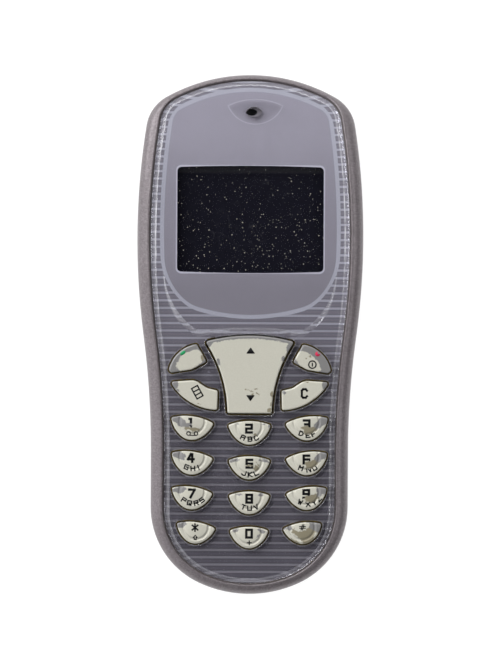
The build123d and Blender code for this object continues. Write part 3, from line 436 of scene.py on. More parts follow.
# The print, in mm: a plain panel with a pale border, the window in it, and stripes in zones, each with its
# upper and lower end and how many lines it holds. Painted shade darkens it towards the bottom, and a painted
# highlight and shade lie round the leaf-shaped dip at the earpiece
panel = {"top": 48.96, "topRadius": 29.6, "sideReach": 17.4, "sideY": 21.0, "sideRadius": 150.0,
         "bottom": 3.99, "bottomRadius": 36.0, "topCorner": 1.2, "bottomCorner": 6.0, "border": 0.8,
         "windowY": 23.2, "windowHalf": (14.75, 10.65), "windowCorner": 0.85, "windowLine": 0.26,
         "edge": 0.05, "paintedShadeUpTo": 8.0, "paintedLightFrom": 50.0}
leaf = {"x": 0.9, "tipsY": 46.1, "halfWidth": 5.5, "rise": 1.3, "drop": 3.7, "line": 0.07,
        "highlightShare": 0.7, "paintedShadeShare": 0.35}
stripes = {"zones": [(55.06, 31.36, 16), (31.36, 2.32, 19), (2.32, -17.07, 13), (-17.07, -61.13, 30)],
           "pitch": 1.48, "line": 0.45, "edge": 0.08, "middleFrom": 0.3, "middleFull": 0.65,
           "fadeFrom": 14.0, "fadeTo": -20.0}
inks = {"bandEdge": ("#6d6a74", "#49464d"), "bandMiddle": ("#79767f", "#535059"),  # each upper, then lower, the lower darker as painted shade
        "line": ("#a2a2ac", "#78767d"), "plain": ("#908d98", "#7b7880"),
        "specks": [(6.0, 2.0, 0.5, 0.0, 1.0, 0.25, "#9a97a2")],
        "border": "#a3a4ae", "leafPaintedShade": "#75717c", "outline": "#b4b3bf"}


def arcDistance(add, flat, x, y, radius):
    distance = add("VectorMath", {0: flat, 1: (x, y, 0)}, operation="DISTANCE")
    return add("Math", {0: distance, 1: radius}, operation="SUBTRACT")


def roundMeet(add, first, second, radius):  # inside both, with a rounded corner
    raised = [add("Math", {0: value, 1: radius}, operation="ADD") for value in (first, second)]
    over = [add("Math", {0: value, 1: 0.0}, operation="MAXIMUM") for value in raised]
    reach = add("VectorMath", {0: add("CombineXYZ", {0: over[0], 1: over[1]})}, operation="LENGTH")
    most = add("Math", {0: first, 1: second}, operation="MAXIMUM")
    inner = add("Math", {0: most, 1: -radius}, operation="MINIMUM")
    return add("Math", {0: inner, 1: reach}, operation="ADD")


def makePrintedFilm():
    # polycarbonate film printed on its back with metallic inks: pale hairlines, darker bands, a plain panel
    material, shader, add, point = startMaterial("printedFilm", Metallic=0.15, Roughness=0.5)
    x, y, _ = add("SeparateXYZ", {0: point}).outputs
    across = add("Math", {0: x}, operation="ABSOLUTE")
    flat = add("CombineXYZ", {0: across, 1: y})
    top = arcDistance(add, flat, 0, panel["top"] - panel["topRadius"], panel["topRadius"])
    side = arcDistance(add, flat, panel["sideReach"] - panel["sideRadius"], panel["sideY"],
                       panel["sideRadius"])
    bottom = arcDistance(add, flat, 0, panel["bottom"] + panel["bottomRadius"], panel["bottomRadius"])
    shield = roundMeet(add, roundMeet(add, top, side, panel["topCorner"]), bottom, panel["bottomCorner"])

    count = None
    for start, end, lines in stripes["zones"]:
        part = add("MapRange", {0: y, 1: start, 2: end, 4: lines})
        count = add("Math", {0: count, 1: part}, operation="ADD") if count else part
    swing = add("Math", {0: count, 1: 0.5}, operation="PINGPONG")
    away = add("Math", {0: swing, 1: stripes["pitch"]}, operation="MULTIPLY")
    half = stripes["line"] / 2
    line = add("MapRange", {0: away, 1: half + stripes["edge"], 2: half - stripes["edge"]},
               interpolation_type="SMOOTHSTEP")
    # painted shade: the stripe inks darken from the top of the phone towards the bottom
    paintedShadeBelow = add("MapRange", {0: y, 1: stripes["fadeFrom"], 2: stripes["fadeTo"]})
    bandEdge, bandMiddle, pale = [add("Mix", {0: paintedShadeBelow, 6: high, 7: low}, data_type="RGBA")
                                  for high, low in (inks["bandEdge"], inks["bandMiddle"], inks["line"])]
    inward = add("MapRange", {0: away, 1: stripes["middleFrom"], 2: stripes["middleFull"]},
                 interpolation_type="SMOOTHSTEP")
    dark = add("Mix", {0: inward, 6: bandEdge, 7: bandMiddle}, data_type="RGBA")
    striped = add("Mix", {0: line, 6: dark, 7: pale}, data_type="RGBA")

    edge = panel["edge"]
    inBorder = add("MapRange", {0: shield, 1: panel["border"] + edge, 2: panel["border"] - edge})
    colour = add("Mix", {0: inBorder, 6: striped, 7: inks["border"]}, data_type="RGBA")
    # painted light and shade: the plain panel is paler towards the top and darker towards the bottom
    paintedLightAbove = add("MapRange", {0: y, 1: panel["paintedShadeUpTo"], 2: panel["paintedLightFrom"]})
    plain = add("Mix", {0: paintedLightAbove, 6: inks["plain"][1], 7: inks["plain"][0]}, data_type="RGBA")
    plain = addBlotches(add, point, plain, inks["specks"])
    inPanel = add("MapRange", {0: shield, 1: edge, 2: -edge})
    colour = add("Mix", {0: inPanel, 6: colour, 7: plain}, data_type="RGBA")

    arcs = []  # round the earpiece, where the plate dips, painted light: a thin pale leaf-shaped line as the highlight on the dip's edge, and painted shade inside the dip
    for side, depth in ((1, leaf["rise"]), (-1, leaf["drop"])):
        radius = (leaf["halfWidth"] ** 2 + depth ** 2) / (2 * depth)
        arcs.append(arcDistance(add, add("CombineXYZ", {0: x, 1: y}), leaf["x"],
                                leaf["tipsY"] + side * (depth - radius), radius))
    inLeaf = add("Math", {0: arcs[0], 1: arcs[1]}, operation="MAXIMUM")
    offLine = add("Math", {0: inLeaf}, operation="ABSOLUTE")
    leafHighlight = add("MapRange", {0: offLine, 1: leaf["line"] + edge, 2: leaf["line"] - edge,
                             4: leaf["highlightShare"]})
    paintedLeafShade = add("MapRange", {0: inLeaf, 1: 0.0, 2: -leaf["rise"], 4: leaf["paintedShadeShare"]})
    colour = add("Mix", {0: paintedLeafShade, 6: colour, 7: inks["leafPaintedShade"]}, data_type="RGBA")
    colour = add("Mix", {0: leafHighlight, 6: colour, 7: inks["outline"]}, data_type="RGBA")

    windowSides = add("Math", {0: across, 1: panel["windowHalf"][0]}, operation="SUBTRACT")
    along = apartFrom(add, y, panel["windowY"])
    windowEnds = add("Math", {0: along, 1: panel["windowHalf"][1]}, operation="SUBTRACT")
    window = roundMeet(add, windowSides, windowEnds, panel["windowCorner"])
    outlined = add("MapRange", {0: window, 1: panel["windowLine"] + edge, 2: panel["windowLine"] - edge})
    colour = add("Mix", {0: outlined, 6: colour, 7: inks["outline"]}, data_type="RGBA")
    wire(material, {shader.inputs["Base Color"]: colour})
    return material


# Dirt in the gaps round the keys: a ring along each key hole's wall, a little short of the key
dirt = {"thick": 0.34, "ends": (-45.0, 1.5), "halfWidth": 18.5}


def addGapDirt():
    shape = mergedCopy("faceplate")
    surface = BVHTree.FromBMesh(shape)
    low, high = dirt["ends"]
    others = []
    for face in shape.faces:
        place = face.calc_center_median() / mm
        isNearKeys = low < place.y < high and abs(place.x) < dirt["halfWidth"]
        if not (isNearKeys and facesAcross(face, surface)):
            others.append(face)
    bmesh.ops.delete(shape, geom=others, context="FACES")
    ring = addPiece("gap_dirt", shape, [grime], "handset")
    thick = ring.modifiers.new("dirtDepth", "SOLIDIFY")
    thick.thickness = dirt["thick"] * mm
    thick.offset = 0


# A paler band along the window's top, and dust, with more of it low down. A layer of specks has its
# cells to the mm, the specks' size within a cell and the share of the cells that hold one.
display = {"off": "#16161e", "bandFrom": 32.25, "bandTo": 33.0, "band": "#2f2f33", "speck": "#dedbc6",
           "fewAt": 33.0, "manyAt": 13.0, "fewShare": 0.55,
           "specks": [(0.8, 0.10, 0.50), (1.2, 0.125, 0.40), (1.9, 0.18, 0.34), (2.6, 0.23, 0.28),
                      (3.3, 0.28, 0.20)],
           "hairs": (0.16, 2.0, 0.002), "hairShare": 0.04, "hair": "#8c8c90"}


def makeDisplay():
    # glass over a switched-off liquid crystal: blue-black, with specks of dust and faint hairs on it
    material, shader, add, point = startMaterial("displayGlass", Roughness=0.12, Specular_IOR_Level=0.3)
    y = add("SeparateXYZ", {0: point}).outputs[1]
    top = add("MapRange", {0: y, 1: display["bandFrom"], 2: display["bandTo"]},
              interpolation_type="SMOOTHSTEP")
    base = add("Mix", {0: top, 6: display["off"], 7: display["band"]}, data_type="RGBA")
    flat = add("VectorMath", {0: point, 1: (1, 1, 0)}, operation="MULTIPLY")
    lower = add("MapRange", {0: y, 1: display["fewAt"], 2: display["manyAt"], 3: display["fewShare"]})
    for scale, size, share in display["specks"]:
        cells = add("TexVoronoi", {"Vector": flat, "Scale": scale})
        chance = add("SeparateColor", {0: cells.outputs["Color"]})
        limit = add("Math", {0: chance.outputs[0], 1: size}, operation="MULTIPLY")
        speck = add("Math", {0: cells.outputs["Distance"], 1: limit}, operation="LESS_THAN")
        often = add("Math", {0: lower, 1: share}, operation="MULTIPLY")
        some = add("Math", {0: chance.outputs[1], 1: often}, operation="LESS_THAN")
        speck = add("Math", {0: speck, 1: some}, operation="MULTIPLY")
        strength = add("Math", {0: speck, 1: chance.outputs[2]}, operation="MULTIPLY")
        base = add("Mix", {0: strength, 6: base, 7: display["speck"]}, data_type="RGBA")
    hair = hairlines(add, flat, *display["hairs"])
    faint = add("Math", {0: hair, 1: display["hairShare"]}, operation="MULTIPLY")
    base = add("Mix", {0: faint, 6: base, 7: display["hair"]}, data_type="RGBA")
    wire(material, {shader.inputs["Base Color"]: base})
    return material


def dressNode(node, material):
    mesh = nodes[node].data
    mesh.materials.clear()
    mesh.materials.append(material)


# the third acrylic carries a painted highlight on the rounded edges of the key holes
acrylic = [makeClearPlate("clearAcrylic", 0.0), grime, makeClearPlate("acrylicHoleHighlight", plate["holeHighlightShare"])]
addSheet("faceplate", acrylic, plateFaceKind)
addSheet("decor_film", [makePrintedFilm()], drop=front["filmDrop"])
addGapDirt()
dressNode("display_glass", makeDisplay())
print("faceplate, film and display dressed")


# Keys: paint, wear and print. Places are in mm from the key's own middle, or from the rocker's for
# the soft keys. Wear is ellipses: x, y, half length, half width, turn. The paint is gone inside the
# grey and olive ones, down to plastic of that tone, and outside the beyond ones. It stays in the kept ones.
keyMiddles = {"key_1": (-11.5, -17.3), "key_2": (0, -18.2), "key_3": (11.5, -17.3),
              "key_4": (-11.5, -24.4), "key_5": (0, -25.3), "key_6": (11.5, -24.4),
              "key_7": (-11.5, -31.5), "key_8": (0, -32.4), "key_9": (11.5, -31.5),
              "key_star": (-10.7, -38.6), "key_0": (0, -39.5), "key_hash": (10.7, -38.6),
              "nav_key": (0, -8), "send_key": (0, -8), "end_key": (0, -8),
              "names_key": (0, -8), "clear_key": (0, -8)}

wear = {
    "key_1": {"grey": [(-2.63, -0.2, 1.9, 0.82, -32), (-1.1, -1.05, 0.6, 0.5, -40),
                       (-0.3, -0.8, 0.45, 0.2, 0)],
              "olive": [(0.1, -1.75, 1.5, 0.36, -8), (-1.0, -1.5, 0.6, 0.4, -20)]},
    "key_2": {"grey": [(2.83, 0.18, 0.3, 0.2, 0), (3.95, -0.16, 0.22, 0.3, 0), (-2.3, 0.15, 0.2, 0.14, 0)],
              "olive": [(1.2, -1.95, 0.4, 0.28, -30)]},
    "key_3": {"grey": [(3.0, -0.3, 1.95, 0.82, 42)],
              "olive": [(0.7, -1.95, 1.45, 0.66, 18), (-0.1, -1.5, 0.9, 0.45, 0)]},
    "key_4": {"grey": [(-2.75, 0.1, 1.5, 0.78, -18), (-2.0, -0.5, 0.6, 0.45, -50)]},
    "key_5": {"grey": [(-3.06, -0.06, 1.0, 0.36, 10), (3.05, -0.06, 0.95, 0.36, -10)],
              "olive": [(1.39, -1.55, 0.55, 0.5, 40), (1.75, -0.9, 0.5, 0.12, -50),
                        (0, -1.1, 0.8, 0.2, 0)]},
    "key_6": {"grey": [(3.03, 0.05, 1.45, 0.8, 25), (2.3, -0.75, 0.8, 0.6, 40)],
              "olive": [(1.2, -1.6, 1.6, 0.72, 30), (0.45, -1.45, 0.8, 0.5, 10)]},
    "key_7": {"grey": [(-2.5, 0.25, 1.5, 0.62, 8), (-2.4, -0.25, 0.7, 0.3, 20)]},
    "key_8": {"grey": [(-2.05, 0.17, 0.6, 0.22, 0), (2.44, 0.13, 0.55, 0.38, -10)]},
    "key_9": {"grey": [(3.2, 0.2, 1.15, 0.8, -10), (2.6, -0.7, 0.9, 0.5, 40)],
              "olive": [(1.3, -1.4, 1.55, 0.72, 22), (0.3, -1.35, 0.8, 0.4, 10)]},
    "key_star": {"grey": [(-3.0, 0.4, 0.98, 0.85, 20), (2.39, 0.04, 0.16, 0.2, 0)]},
    "key_0": {"grey": [(-2.81, -0.07, 0.85, 0.34, 12), (2.58, -0.15, 0.72, 0.36, -18),
                       (1.95, -1.1, 0.4, 0.09, 55), (1.6, -1.45, 0.35, 0.08, 55)]},
    "key_hash": {"grey": [(2.6, 0.1, 1.9, 1.4, -20), (-2.9, -0.3, 0.9, 0.7, -20)],
                 "olive": [(0.6, -1.9, 2.9, 2.1, 0)],
                 "kept": [(-0.1, -0.1, 1.6, 0.85, 12), (-1.9, -2.0, 2.5, 0.5, -36),
                          (2.77, -1.7, 0.32, 0.6, -35)]},
    "nav_key": {"beyond": [(0, -25.7, 32.9, 32.9, 0)],
                "grey": [(-8.3, 6.6, 1.0, 1.0, 0), (8.5, 5.6, 1.0, 1.9, -22), (-6.25, 2.44, 0.35, 0.65, 15),
                         (6.7, 3.3, 0.3, 0.5, -15)],
                "olive": [(4.55, -4.1, 0.3, 0.5, 0), (4.35, -6.0, 0.22, 0.32, 0), (4.0, -7.2, 0.4, 0.45, 0),
                          (0.2, -3.3, 0.85, 0.1, -20), (1.55, -3.85, 0.5, 0.12, -45),
                          (-0.7, -2.95, 0.25, 0.13, 0), (0.65, -3.95, 0.4, 0.1, 60),
                          (1.2, -3.0, 0.3, 0.09, 20)]},
    "send_key": {"beyond": [(-12.0, 2.75, 3.1, 1.75, 32)],
                 "olive": [(-10.9, 1.66, 0.22, 0.15, 0), (-9.5, 3.2, 0.3, 0.7, 25),
                           (-12.7, 2.85, 0.15, 0.1, 0)]},
    "end_key": {"beyond": [(11.7, 2.5, 3.0, 1.6, -38)],
                "olive": [(11.95, 3.7, 0.3, 0.15, 0), (11.4, 3.2, 0.16, 0.1, 0)]},
    "names_key": {"grey": [(-15.4, -1.9, 0.95, 1.3, 15), (-14.5, -3.2, 0.5, 0.18, -45)],
                  "olive": [(-10.3, -5.95, 0.35, 0.12, -20)]},
    "clear_key": {"grey": [(15.5, -1.9, 0.95, 1.2, -15), (6.9, -3.62, 0.3, 0.25, 0)],
                  "olive": [(13.4, -4.85, 1.7, 0.3, 40), (11.2, -1.45, 0.35, 0.14, 0)]}}
coat = {"grainPerMm": 4.5, "dark": "#c6c4b5", "pale": "#d8d6c9", "grey": "#898887", "olive": "#938c76",
        "toneBlend": 0.2, "roughness": (0.38, 0.30), "thick": 0.03, "edge": 0.05, "chipsPerMm": 1.7,
        "chipFrom": 0.2, "chipTo": 0.8, "ragged": 0.35, "farOff": 9.0, "tall": 1000.0,
        "crownY": -0.2, "crownRing": 2.55, "ringWidth": 0.45, "ringDepth": 0.22}


def beyondEllipse(add, point, ellipse, middle):  # mm outside an ellipse, negative inside it
    x, y, halfLength, halfWidth, turn = ellipse
    mapped = add("Mapping", {"Vector": point, "Location": (middle[0] + x, middle[1] + y, 0),
                             "Rotation": (0, 0, math.radians(turn)),  # so tall that height doesn't count
                             "Scale": (halfLength, halfWidth, coat["tall"])}, vector_type="TEXTURE")
    length = add("VectorMath", {0: mapped}, operation="LENGTH")
    narrow = min(halfLength, halfWidth)
    return add("Math", {0: length, 1: narrow, 2: -narrow}, operation="MULTIPLY_ADD")


def nearestEllipse(add, point, ellipses, middle):
    nearest = coat["farOff"]
    for ellipse in ellipses:
        beyond = beyondEllipse(add, point, ellipse, middle)
        nearest = add("Math", {0: beyond, 1: nearest}, operation="MINIMUM")
    return nearest


def makeKeyPaint(node):
    # grey ABS keys under sprayed champagne-silver paint, rubbed through by thumbs to the dull plastic
    material, shader, add, point = startMaterial("rubbedPaint_" + node, Metallic=0.1, Coat_Weight=0.3,
                                                 Coat_Roughness=0.15)
    middle, worn = keyMiddles[node], wear[node]
    fine = add("TexNoise", {"Vector": point, "Scale": coat["grainPerMm"], "Detail": 3.0})
    paint = add("Mix", {0: fine, 6: coat["dark"], 7: coat["pale"]}, data_type="RGBA")
    greyReach = nearestEllipse(add, point, worn.get("grey", []), middle)
    for ellipse in worn.get("beyond", []):
        beyond = beyondEllipse(add, point, ellipse, middle)
        inside = add("Math", {0: beyond, 1: -1.0}, operation="MULTIPLY")
        greyReach = add("Math", {0: greyReach, 1: inside}, operation="MINIMUM")
    oliveReach = nearestEllipse(add, point, worn.get("olive", []), middle)
    reach = add("Math", {0: greyReach, 1: oliveReach}, operation="MINIMUM")
    if "kept" in worn:
        kept = nearestEllipse(add, point, worn["kept"], middle)
        inside = add("Math", {0: kept, 1: -1.0}, operation="MULTIPLY")
        reach = add("Math", {0: reach, 1: inside}, operation="MAXIMUM")
    chips = add("TexNoise", {"Vector": point, "Scale": coat["chipsPerMm"], "Detail": 5.0,
                             "Roughness": 0.65})
    ragged = add("MapRange", {0: chips, 1: coat["chipFrom"], 2: coat["chipTo"],
                              3: -coat["ragged"], 4: coat["ragged"]})
    reach = add("Math", {0: reach, 1: ragged}, operation="ADD")
    bare = add("MapRange", {0: reach, 1: coat["edge"], 2: -coat["edge"]},
               interpolation_type="SMOOTHSTEP")
    lead = add("Math", {0: oliveReach, 1: greyReach}, operation="SUBTRACT")
    tone = add("MapRange", {0: lead, 1: coat["toneBlend"], 2: -coat["toneBlend"]})
    under = add("Mix", {0: tone, 6: coat["grey"], 7: coat["olive"]}, data_type="RGBA")
    colour = add("Mix", {0: bare, 6: paint, 7: under}, data_type="RGBA")
    painted, unpainted = coat["roughness"]
    roughness = add("MapRange", {0: bare, 3: painted, 4: unpainted})

    height = add("Math", {0: bare, 1: -coat["thick"]}, operation="MULTIPLY")
    if node in figures:  # the low crown under the figure ends in a shallow ring
        flat = add("VectorMath", {0: point, 1: (1, 1, 0)}, operation="MULTIPLY")
        crown = (middle[0], middle[1] + coat["crownY"], 0)
        away = add("VectorMath", {0: flat, 1: crown}, operation="DISTANCE")
        offRing = apartFrom(add, away, coat["crownRing"])
        groove = add("MapRange", {0: offRing, 1: coat["ringWidth"], 2: 0.0, 4: -coat["ringDepth"]},
                     interpolation_type="SMOOTHSTEP")
        height = add("Math", {0: height, 1: groove}, operation="ADD")
    bump = add("Bump", {"Height": height, "Distance": mm})
    wire(material, {shader.inputs["Base Color"]: colour, shader.inputs["Roughness"]: roughness,
                    shader.inputs["Normal"]: bump})
    return material


thinInk = (5.0, 3.0, 0.5, 0.45, 0.8, 0.06, "#8a8a86")


def makeInk(name, code):
    # pad-printed ink: matt, a little uneven in depth of colour
    material, shader, add, point = startMaterial(name, Roughness=0.6, Specular_IOR_Level=0.15)
    wire(material, {shader.inputs["Base Color"]: addBlotches(add, point, code, [thinInk])})
    return material


# Strokes of each figure on a grid 4 wide and 6 high, as pairs of column and row
glyphs = {"0": ["00 40 46 06 00"], "1": ["16 26 20"], "2": ["06 46 43 03 00 40"],
          "3": ["06 46 40 00", "13 43"], "4": ["30 36 26 02 42"], "5": ["46 06 03 43 40 00"],
          "6": ["46 06 00 40 43 03"], "7": ["06 46 10"], "8": ["00 40 46 06 00", "03 43"],
          "9": ["00 40 46 06 03 43"], "*": ["20 26", "01 45", "41 05"],
          "#": ["10 26", "20 36", "02 42", "04 44"], "+": ["21 25", "03 43"],
          "A": ["00 05 16 46 40", "03 43"], "B": ["00 06 36 45 44 33 42 41 30 00", "03 33"],
          "C": ["45 36 16 05 01 10 30 41"], "D": ["00 06 26 44 42 20 00"], "E": ["46 06 00 40", "03 33"],
          "F": ["46 06 00", "03 33"], "G": ["46 06 00 40 43 23"], "H": ["00 06", "40 46", "03 43"],
          "I": ["20 26"], "J": ["46 41 30 10 01"], "K": ["00 06", "46 03 40"], "L": ["06 00 40"],
          "M": ["00 06 23 46 40"], "N": ["00 06 40 46"], "O": ["00 40 46 06 00"], "P": ["00 06 46 43 03"],
          "Q": ["00 40 46 06 00", "22 40"], "R": ["00 06 46 43 03", "23 40"],
          "S": ["46 06 03 43 40 00"], "T": ["06 46", "26 20"], "U": ["06 00 40 46"], "V": ["06 20 46"],
          "W": ["06 10 24 30 46"], "X": ["00 46", "06 40"], "Y": ["06 23 46", "23 20"], "Z": ["06 46 00 40"],
          "page": ["00 06 46 40 00", "04 44", "02 42"], "arrow": ["03 26 43 33 30 10 13 03"]}
figures = {"key_1": ("1", -0.30, -0.45), "key_2": ("2", -0.10, -0.71), "key_3": ("3", 0.0, -0.69),
           "key_4": ("4", -0.29, -0.47), "key_5": ("5", 0.0, -0.69), "key_6": ("6", 0.0, -0.69),
           "key_7": ("7", -0.05, -0.55), "key_8": ("8", 0.0, -0.66), "key_9": ("9", 0.0, -0.55),
           "key_star": ("*", -0.20, -0.34), "key_0": ("0", 0.0, -0.63), "key_hash": ("#", 0.08, -0.2)}
letters = {"key_2": [("A", -1.31, -2.50), ("B", 0.10, -2.83), ("C", 1.37, -2.60)],
           "key_3": [("D", -1.07, -2.56), ("E", 0.28, -2.90), ("F", 1.39, -2.62)],
           "key_4": [("G", -1.17, -2.32), ("H", 0.12, -2.60), ("I", 1.23, -2.38)],
           "key_5": [("J", -1.08, -2.60), ("K", 0.16, -2.88), ("L", 1.39, -2.60)],
           "key_6": [("M", -1.10, -2.42), ("N", 0.45, -2.75), ("O", 1.65, -2.40)],
           "key_7": [("P", -1.67, -1.90), ("Q", -0.55, -2.46), ("R", 0.80, -2.46), ("S", 1.93, -1.90)],
           "key_8": [("T", -1.15, -2.35), ("U", 0.08, -2.57), ("V", 1.43, -2.35)],
           "key_9": [("W", -1.20, -2.20), ("X", 0.37, -2.65), ("Y", 1.62, -2.32), ("Z", 2.55, -1.60)]}
legend = {"figureSize": (1.10, 1.55), "figureStroke": 0.50, "starSize": (1.10, 1.40), "starStroke": 0.32,
          "hashSize": (1.15, 1.05), "hashStroke": 0.19, "letterSize": (0.74, 0.84), "letterStroke": 0.25,
          "turnPerMm": 19.0, "cell": 0.08, "merge": 0.0008, "ringSides": 28, "dotSides": 24,
          "lookFromM": 0.05, "lift": 0.012, "inkShare": 0.6, "sharpAngle": 60, "ragged": 0.20, "grain": 3.1}
signs = {"key_star": ("arrow", (-0.15, -2.35), (0.78, 0.85), 0.2, 0),  # glyph, middle, size, stroke, turn
         "key_0": ("+", (0.06, -2.48), (0.78, 1.1), 0.24, 0),
         "clear_key": ("C", (11.03, -3.78), (1.04, 1.70), 0.43, 0),
         "names_key": ("page", (-10.55, -3.62), (1.35, 2.35), 0.27, 29)}
rounds = {"triangles": [((0.16, 4.62), 1.06, 90), ((0.16, -4.58), 1.04, -90)], "triangleFlat": 0.82,
          "triangleCorner": 0.2, "power": ((12.6, 2.04), 0.74, 0.26, 0.8),
          "tape": ((-0.78, 0.72), -2.64, 0.36, 0.21)}
marks = {"send_key": ("#2f9a63", (-13.46, -3.72), (0.62, 0.34), 35),
         "end_key": ("#d03355", (13.66, -3.82), (0.52, 0.48), 0)}


def addStroke(shape, start, end, stroke):  # a box with square ends, cut into small cells
    way = end - start
    length = way.length + stroke
    turned = Matrix.Rotation(math.atan2(way.y, way.x), 4, "Z")
    place = Matrix.Translation(((start + end) / 2).to_3d()) @ turned
    bmesh.ops.create_grid(shape, x_segments=math.ceil(length / legend["cell"]),
                          y_segments=math.ceil(stroke / legend["cell"]), size=0.5,
                          matrix=place @ Matrix.Diagonal((length, stroke, 1, 1)))


def addGlyph(shape, name, size, stroke, centre, turn=0.0):
    turned = Matrix.Rotation(math.radians(turn), 2)
    for code in glyphs[name]:
        corners = [Vector(((int(column) / 4 - 0.5) * size[0], (int(row) / 6 - 0.5) * size[1]))
                   for column, row in code.split()]
        points = [Vector(centre) + turned @ corner for corner in corners]
        for start, end in zip(points, points[1:]):
            addStroke(shape, start, end, stroke)


def addRing(shape, centre, radius, stroke):
    made = bmesh.ops.create_grid(shape, x_segments=legend["ringSides"], y_segments=2, size=0.5)["verts"]
    for vert in made:  # the strip is bent round into a ring
        turn, reach = vert.co.x * math.tau, radius + vert.co.y * stroke
        vert.co = (centre[0] + reach * math.cos(turn), centre[1] + reach * math.sin(turn), 0)
    bmesh.ops.remove_doubles(shape, verts=made, dist=legend["merge"])


def addTriangle(shape, centre, radius, turn):
    place = Matrix.Translation((*centre, 0)) @ Matrix.Diagonal((1, rounds["triangleFlat"], 1, 1))
    made = bmesh.ops.create_circle(shape, cap_ends=True, radius=radius, segments=3,
                                   matrix=place @ Matrix.Rotation(math.radians(turn - 90), 4, "Z"))["verts"]
    bmesh.ops.bevel(shape, geom=made, affect="VERTICES", offset=radius * rounds["triangleCorner"],
                    segments=3, profile=0.5, material=-1)


def drawLegend(node):
    x, y = keyMiddles[node]
    shape = bmesh.new()
    if node in figures:
        figure, across, along = figures[node]
        kind = {"*": "star", "#": "hash"}.get(figure, "figure")
        addGlyph(shape, figure, legend[kind + "Size"], legend[kind + "Stroke"], (x + across, y + along))
    for letter, across, along in letters.get(node, []):
        addGlyph(shape, letter, legend["letterSize"], legend["letterStroke"], (x + across, y + along),
                 legend["turnPerMm"] * across)
    if node in signs:
        sign, centre, size, stroke, turn = signs[node]
        addGlyph(shape, sign, size, stroke, (x + centre[0], y + centre[1]), turn)
    if node == "key_1":  # the message sign: two reels on a tape
        reels, drop, radius, stroke = rounds["tape"]
        for across in reels:
            addRing(shape, (x + across, y + drop), radius, stroke)
        tape = [Vector((x + across, y + drop - radius)) for across in reels]
        addStroke(shape, *tape, stroke)
    if node == "nav_key":
        for centre, radius, turn in rounds["triangles"]:
            addTriangle(shape, (x + centre[0], y + centre[1]), radius, turn)
    if node == "end_key":
        centre, radius, stroke, bar = rounds["power"]
        addRing(shape, (x + centre[0], y + centre[1]), radius, stroke)
        ends = [Vector((x + centre[0], y + centre[1] + side * (bar - stroke) / 2)) for side in (-1, 1)]
        addStroke(shape, *ends, stroke)
    return shape


def outsideEllipse(x, y, ellipse):
    middleX, middleY, halfLength, halfWidth, turn = ellipse
    along = Matrix.Rotation(-math.radians(turn), 2) @ Vector((x - middleX, y - middleY))
    return (math.hypot(along.x / halfLength, along.y / halfWidth) - 1) * min(halfLength, halfWidth)


def isRubbed(node, point):
    x, y = point.x - keyMiddles[node][0], point.y - keyMiddles[node][1]
    worn = wear[node]
    reach = min([outsideEllipse(x, y, e) for kind in ("grey", "olive") for e in worn.get(kind, [])]
                + [-outsideEllipse(x, y, e) for e in worn.get("beyond", [])])
    for ellipse in worn.get("kept", []):
        reach = max(reach, -outsideEllipse(x, y, ellipse))
    return reach + legend["ragged"] * noise.noise(Vector((point.x, point.y, 0)) * legend["grain"]) < 0


def addPrint(name, node, surface, shape, material, canRub=True):
    if canRub:
        lost = [face for face in shape.faces if isRubbed(node, face.calc_center_median())]
        bmesh.ops.delete(shape, geom=lost, context="FACES")
    bmesh.ops.scale(shape, vec=(mm, mm, mm), verts=shape.verts)
    missed = []
    for vert in shape.verts:  # laid on the key from above
        above = Vector((vert.co.x, vert.co.y, legend["lookFromM"]))
        hit = surface.ray_cast(above, Vector((0, 0, -1)))[0]
        vert.co.z = hit.z + legend["lift"] * mm if hit else 0
        if not hit:
            missed.append(vert)
    bmesh.ops.delete(shape, geom=missed, context="VERTS")
    piece = addPiece(name, shape, [material], node, sharpAngle=legend["sharpAngle"])
    depth = piece.modifiers.new("inkDepth", "SOLIDIFY")
    depth.thickness = legend["lift"] * legend["inkShare"] * mm
    depth.offset = -1


def isWall(face, surface):
    return abs(face.normal.z) < shell["steep"]


ink = makeInk("blackPadInk", "#08080b")
for node in keyMiddles:
    key = smoothCopy(node, [makeKeyPaint(node), grime], node, isWall)
    surface = BVHTree.FromPolygons([vert.co for vert in key.data.vertices],
                                   [polygon.vertices for polygon in key.data.polygons])
    legendShape = drawLegend(node)
    if legendShape.faces:
        addPrint(node + "_print", node, surface, legendShape, ink)
    if node in marks:
        colour, (x, y), (halfLength, halfWidth), turn = marks[node]
        dot = bmesh.new()
        place = Matrix.Translation((x, y, 0)) @ Matrix.Rotation(math.radians(turn), 4, "Z")
        bmesh.ops.create_circle(dot, cap_ends=True, cap_tris=True, radius=1.0, segments=legend["dotSides"],
                                matrix=place @ Matrix.Diagonal((halfLength, halfWidth, 1, 1)))
        addPrint(node + "_mark", node, surface, dot, makeInk("colourPadInk_" + node, colour), canRub=False)
print("keys painted and printed")


# Pieces inside

def makePlain(name, first, second, scale, bumpMm=0.0, **settings):
    material, shader, add, point = startMaterial(name, **settings)
    spread = add("TexNoise", {"Vector": point, "Scale": scale, "Detail": 3.0})
    colour = add("Mix", {0: spread, 6: first, 7: second}, data_type="RGBA")
    wire(material, {shader.inputs["Base Color"]: colour})
    if bumpMm:
        wire(material, {shader.inputs["Normal"]: add("Bump", {"Height": spread, "Distance": bumpMm * mm})})
    return material


def makeBoard():
    # glass-epoxy board under green solder mask, with copper tracks showing as lighter lines
    material, shader, add, point = startMaterial("solderMaskBoard", Roughness=0.35, Coat_Weight=0.3)
    tracks = add("TexBrick", {"Vector": point, "Scale": 0.6, "Mortar Size": 0.02,
                              "Color1": "#174a2c", "Color2": "#1b5232", "Mortar": "#2f7a4a"})
    wire(material, {shader.inputs["Base Color"]: tracks})
    return material


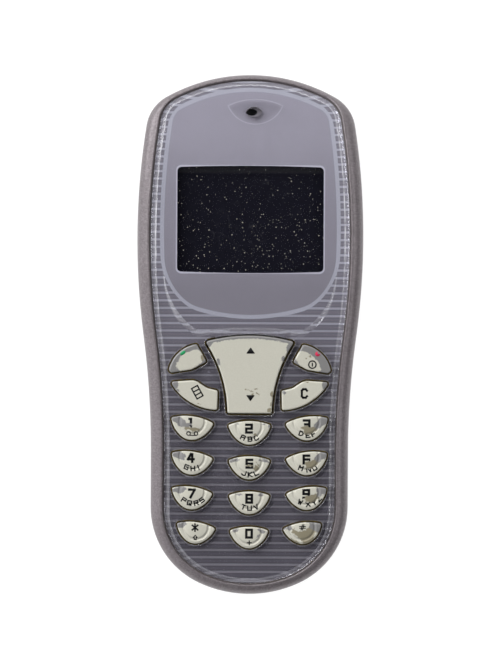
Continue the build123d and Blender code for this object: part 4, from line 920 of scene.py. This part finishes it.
def dressInside():
    blackPlastic = makePlain("blackNylon", "#17171a", "#222226", 1.5, 0.02, Roughness=0.55)
    whitePlastic = makePlain("whitePolycarbonate", "#d9d8d2", "#e6e5df", 0.8, 0.01, Roughness=0.45)
    greyRubber = makePlain("siliconeRubber", "#8d8f92", "#9b9da0", 1.0, 0.02, Roughness=0.7)
    foam = makePlain("closedCellFoam", "#1b1b1c", "#2c2c2d", 4.0, 0.08, Roughness=0.95)
    steel = makePlain("pressedSteel", "#a9abae", "#babcbf", 0.7, 0.01, Metallic=1.0, Roughness=0.35)
    tin = makePlain("tinPlate", "#b9bab8", "#cdcecb", 0.5, 0.01, Metallic=1.0, Roughness=0.3)
    brass = makePlain("turnedBrass", "#b08d4a", "#c7a35c", 1.2, 0.01, Metallic=1.0, Roughness=0.3)
    gold = makePlain("goldPlating", "#d0a64e", "#dfb862", 1.2, 0.0, Metallic=1.0, Roughness=0.25)
    tungsten = makePlain("sinteredTungsten", "#6d6d70", "#7d7d80", 2.0, 0.02, Metallic=1.0, Roughness=0.45)
    dome = makePlain("polyesterDomes", "#b9bcc0", "#c9ccd0", 0.9, 0.01, Roughness=0.3)
    lamp = makePlain("amberEpoxy", "#d9b45a", "#e8c978", 2.0, 0.0, Roughness=0.2, Transmission_Weight=0.4)
    chip = makePlain("mouldedEpoxy", "#1a1a1c", "#242426", 3.0, 0.01, Roughness=0.5)
    wrap = makePlain("shrinkWrap", "#2b2d33", "#363941", 0.6, 0.01, Roughness=0.4)
    card = makePlain("cardPvc", "#c9cdd2", "#d8dbdf", 0.5, 0.005, Roughness=0.35)
    board = makeBoard()
    finishes = {"keypad_mat": greyRubber, "dome_sheet": dome, "keypad_leds": lamp, "display_gasket": foam,
                "display_holder": whitePlastic, "display_connector": blackPlastic, "earpiece_speaker": steel,
                "earpiece_gasket": foam, "microphone": steel, "microphone_boot": greyRubber,
                "buzzer": blackPlastic, "vibration_motor": steel, "vibration_weight": tungsten,
                "main_board": board, "rf_shield_can": tin, "baseband_shield_can": tin, "board_chips": chip,
                "sim_holder": blackPlastic, "sim_card": card, "antenna_carrier": whitePlastic,
                "antenna_plate": gold, "antenna_contacts": gold, "backup_cell": steel, "battery_pack": wrap,
                "battery_contacts": blackPlastic, "casing_screws": steel, "thread_inserts": brass,
                "charge_socket": blackPlastic, "headset_socket": blackPlastic}
    for node, material in finishes.items():
        dressNode(node, material)
    print("inside dressed:", len(finishes), "nodes")


dressInside()
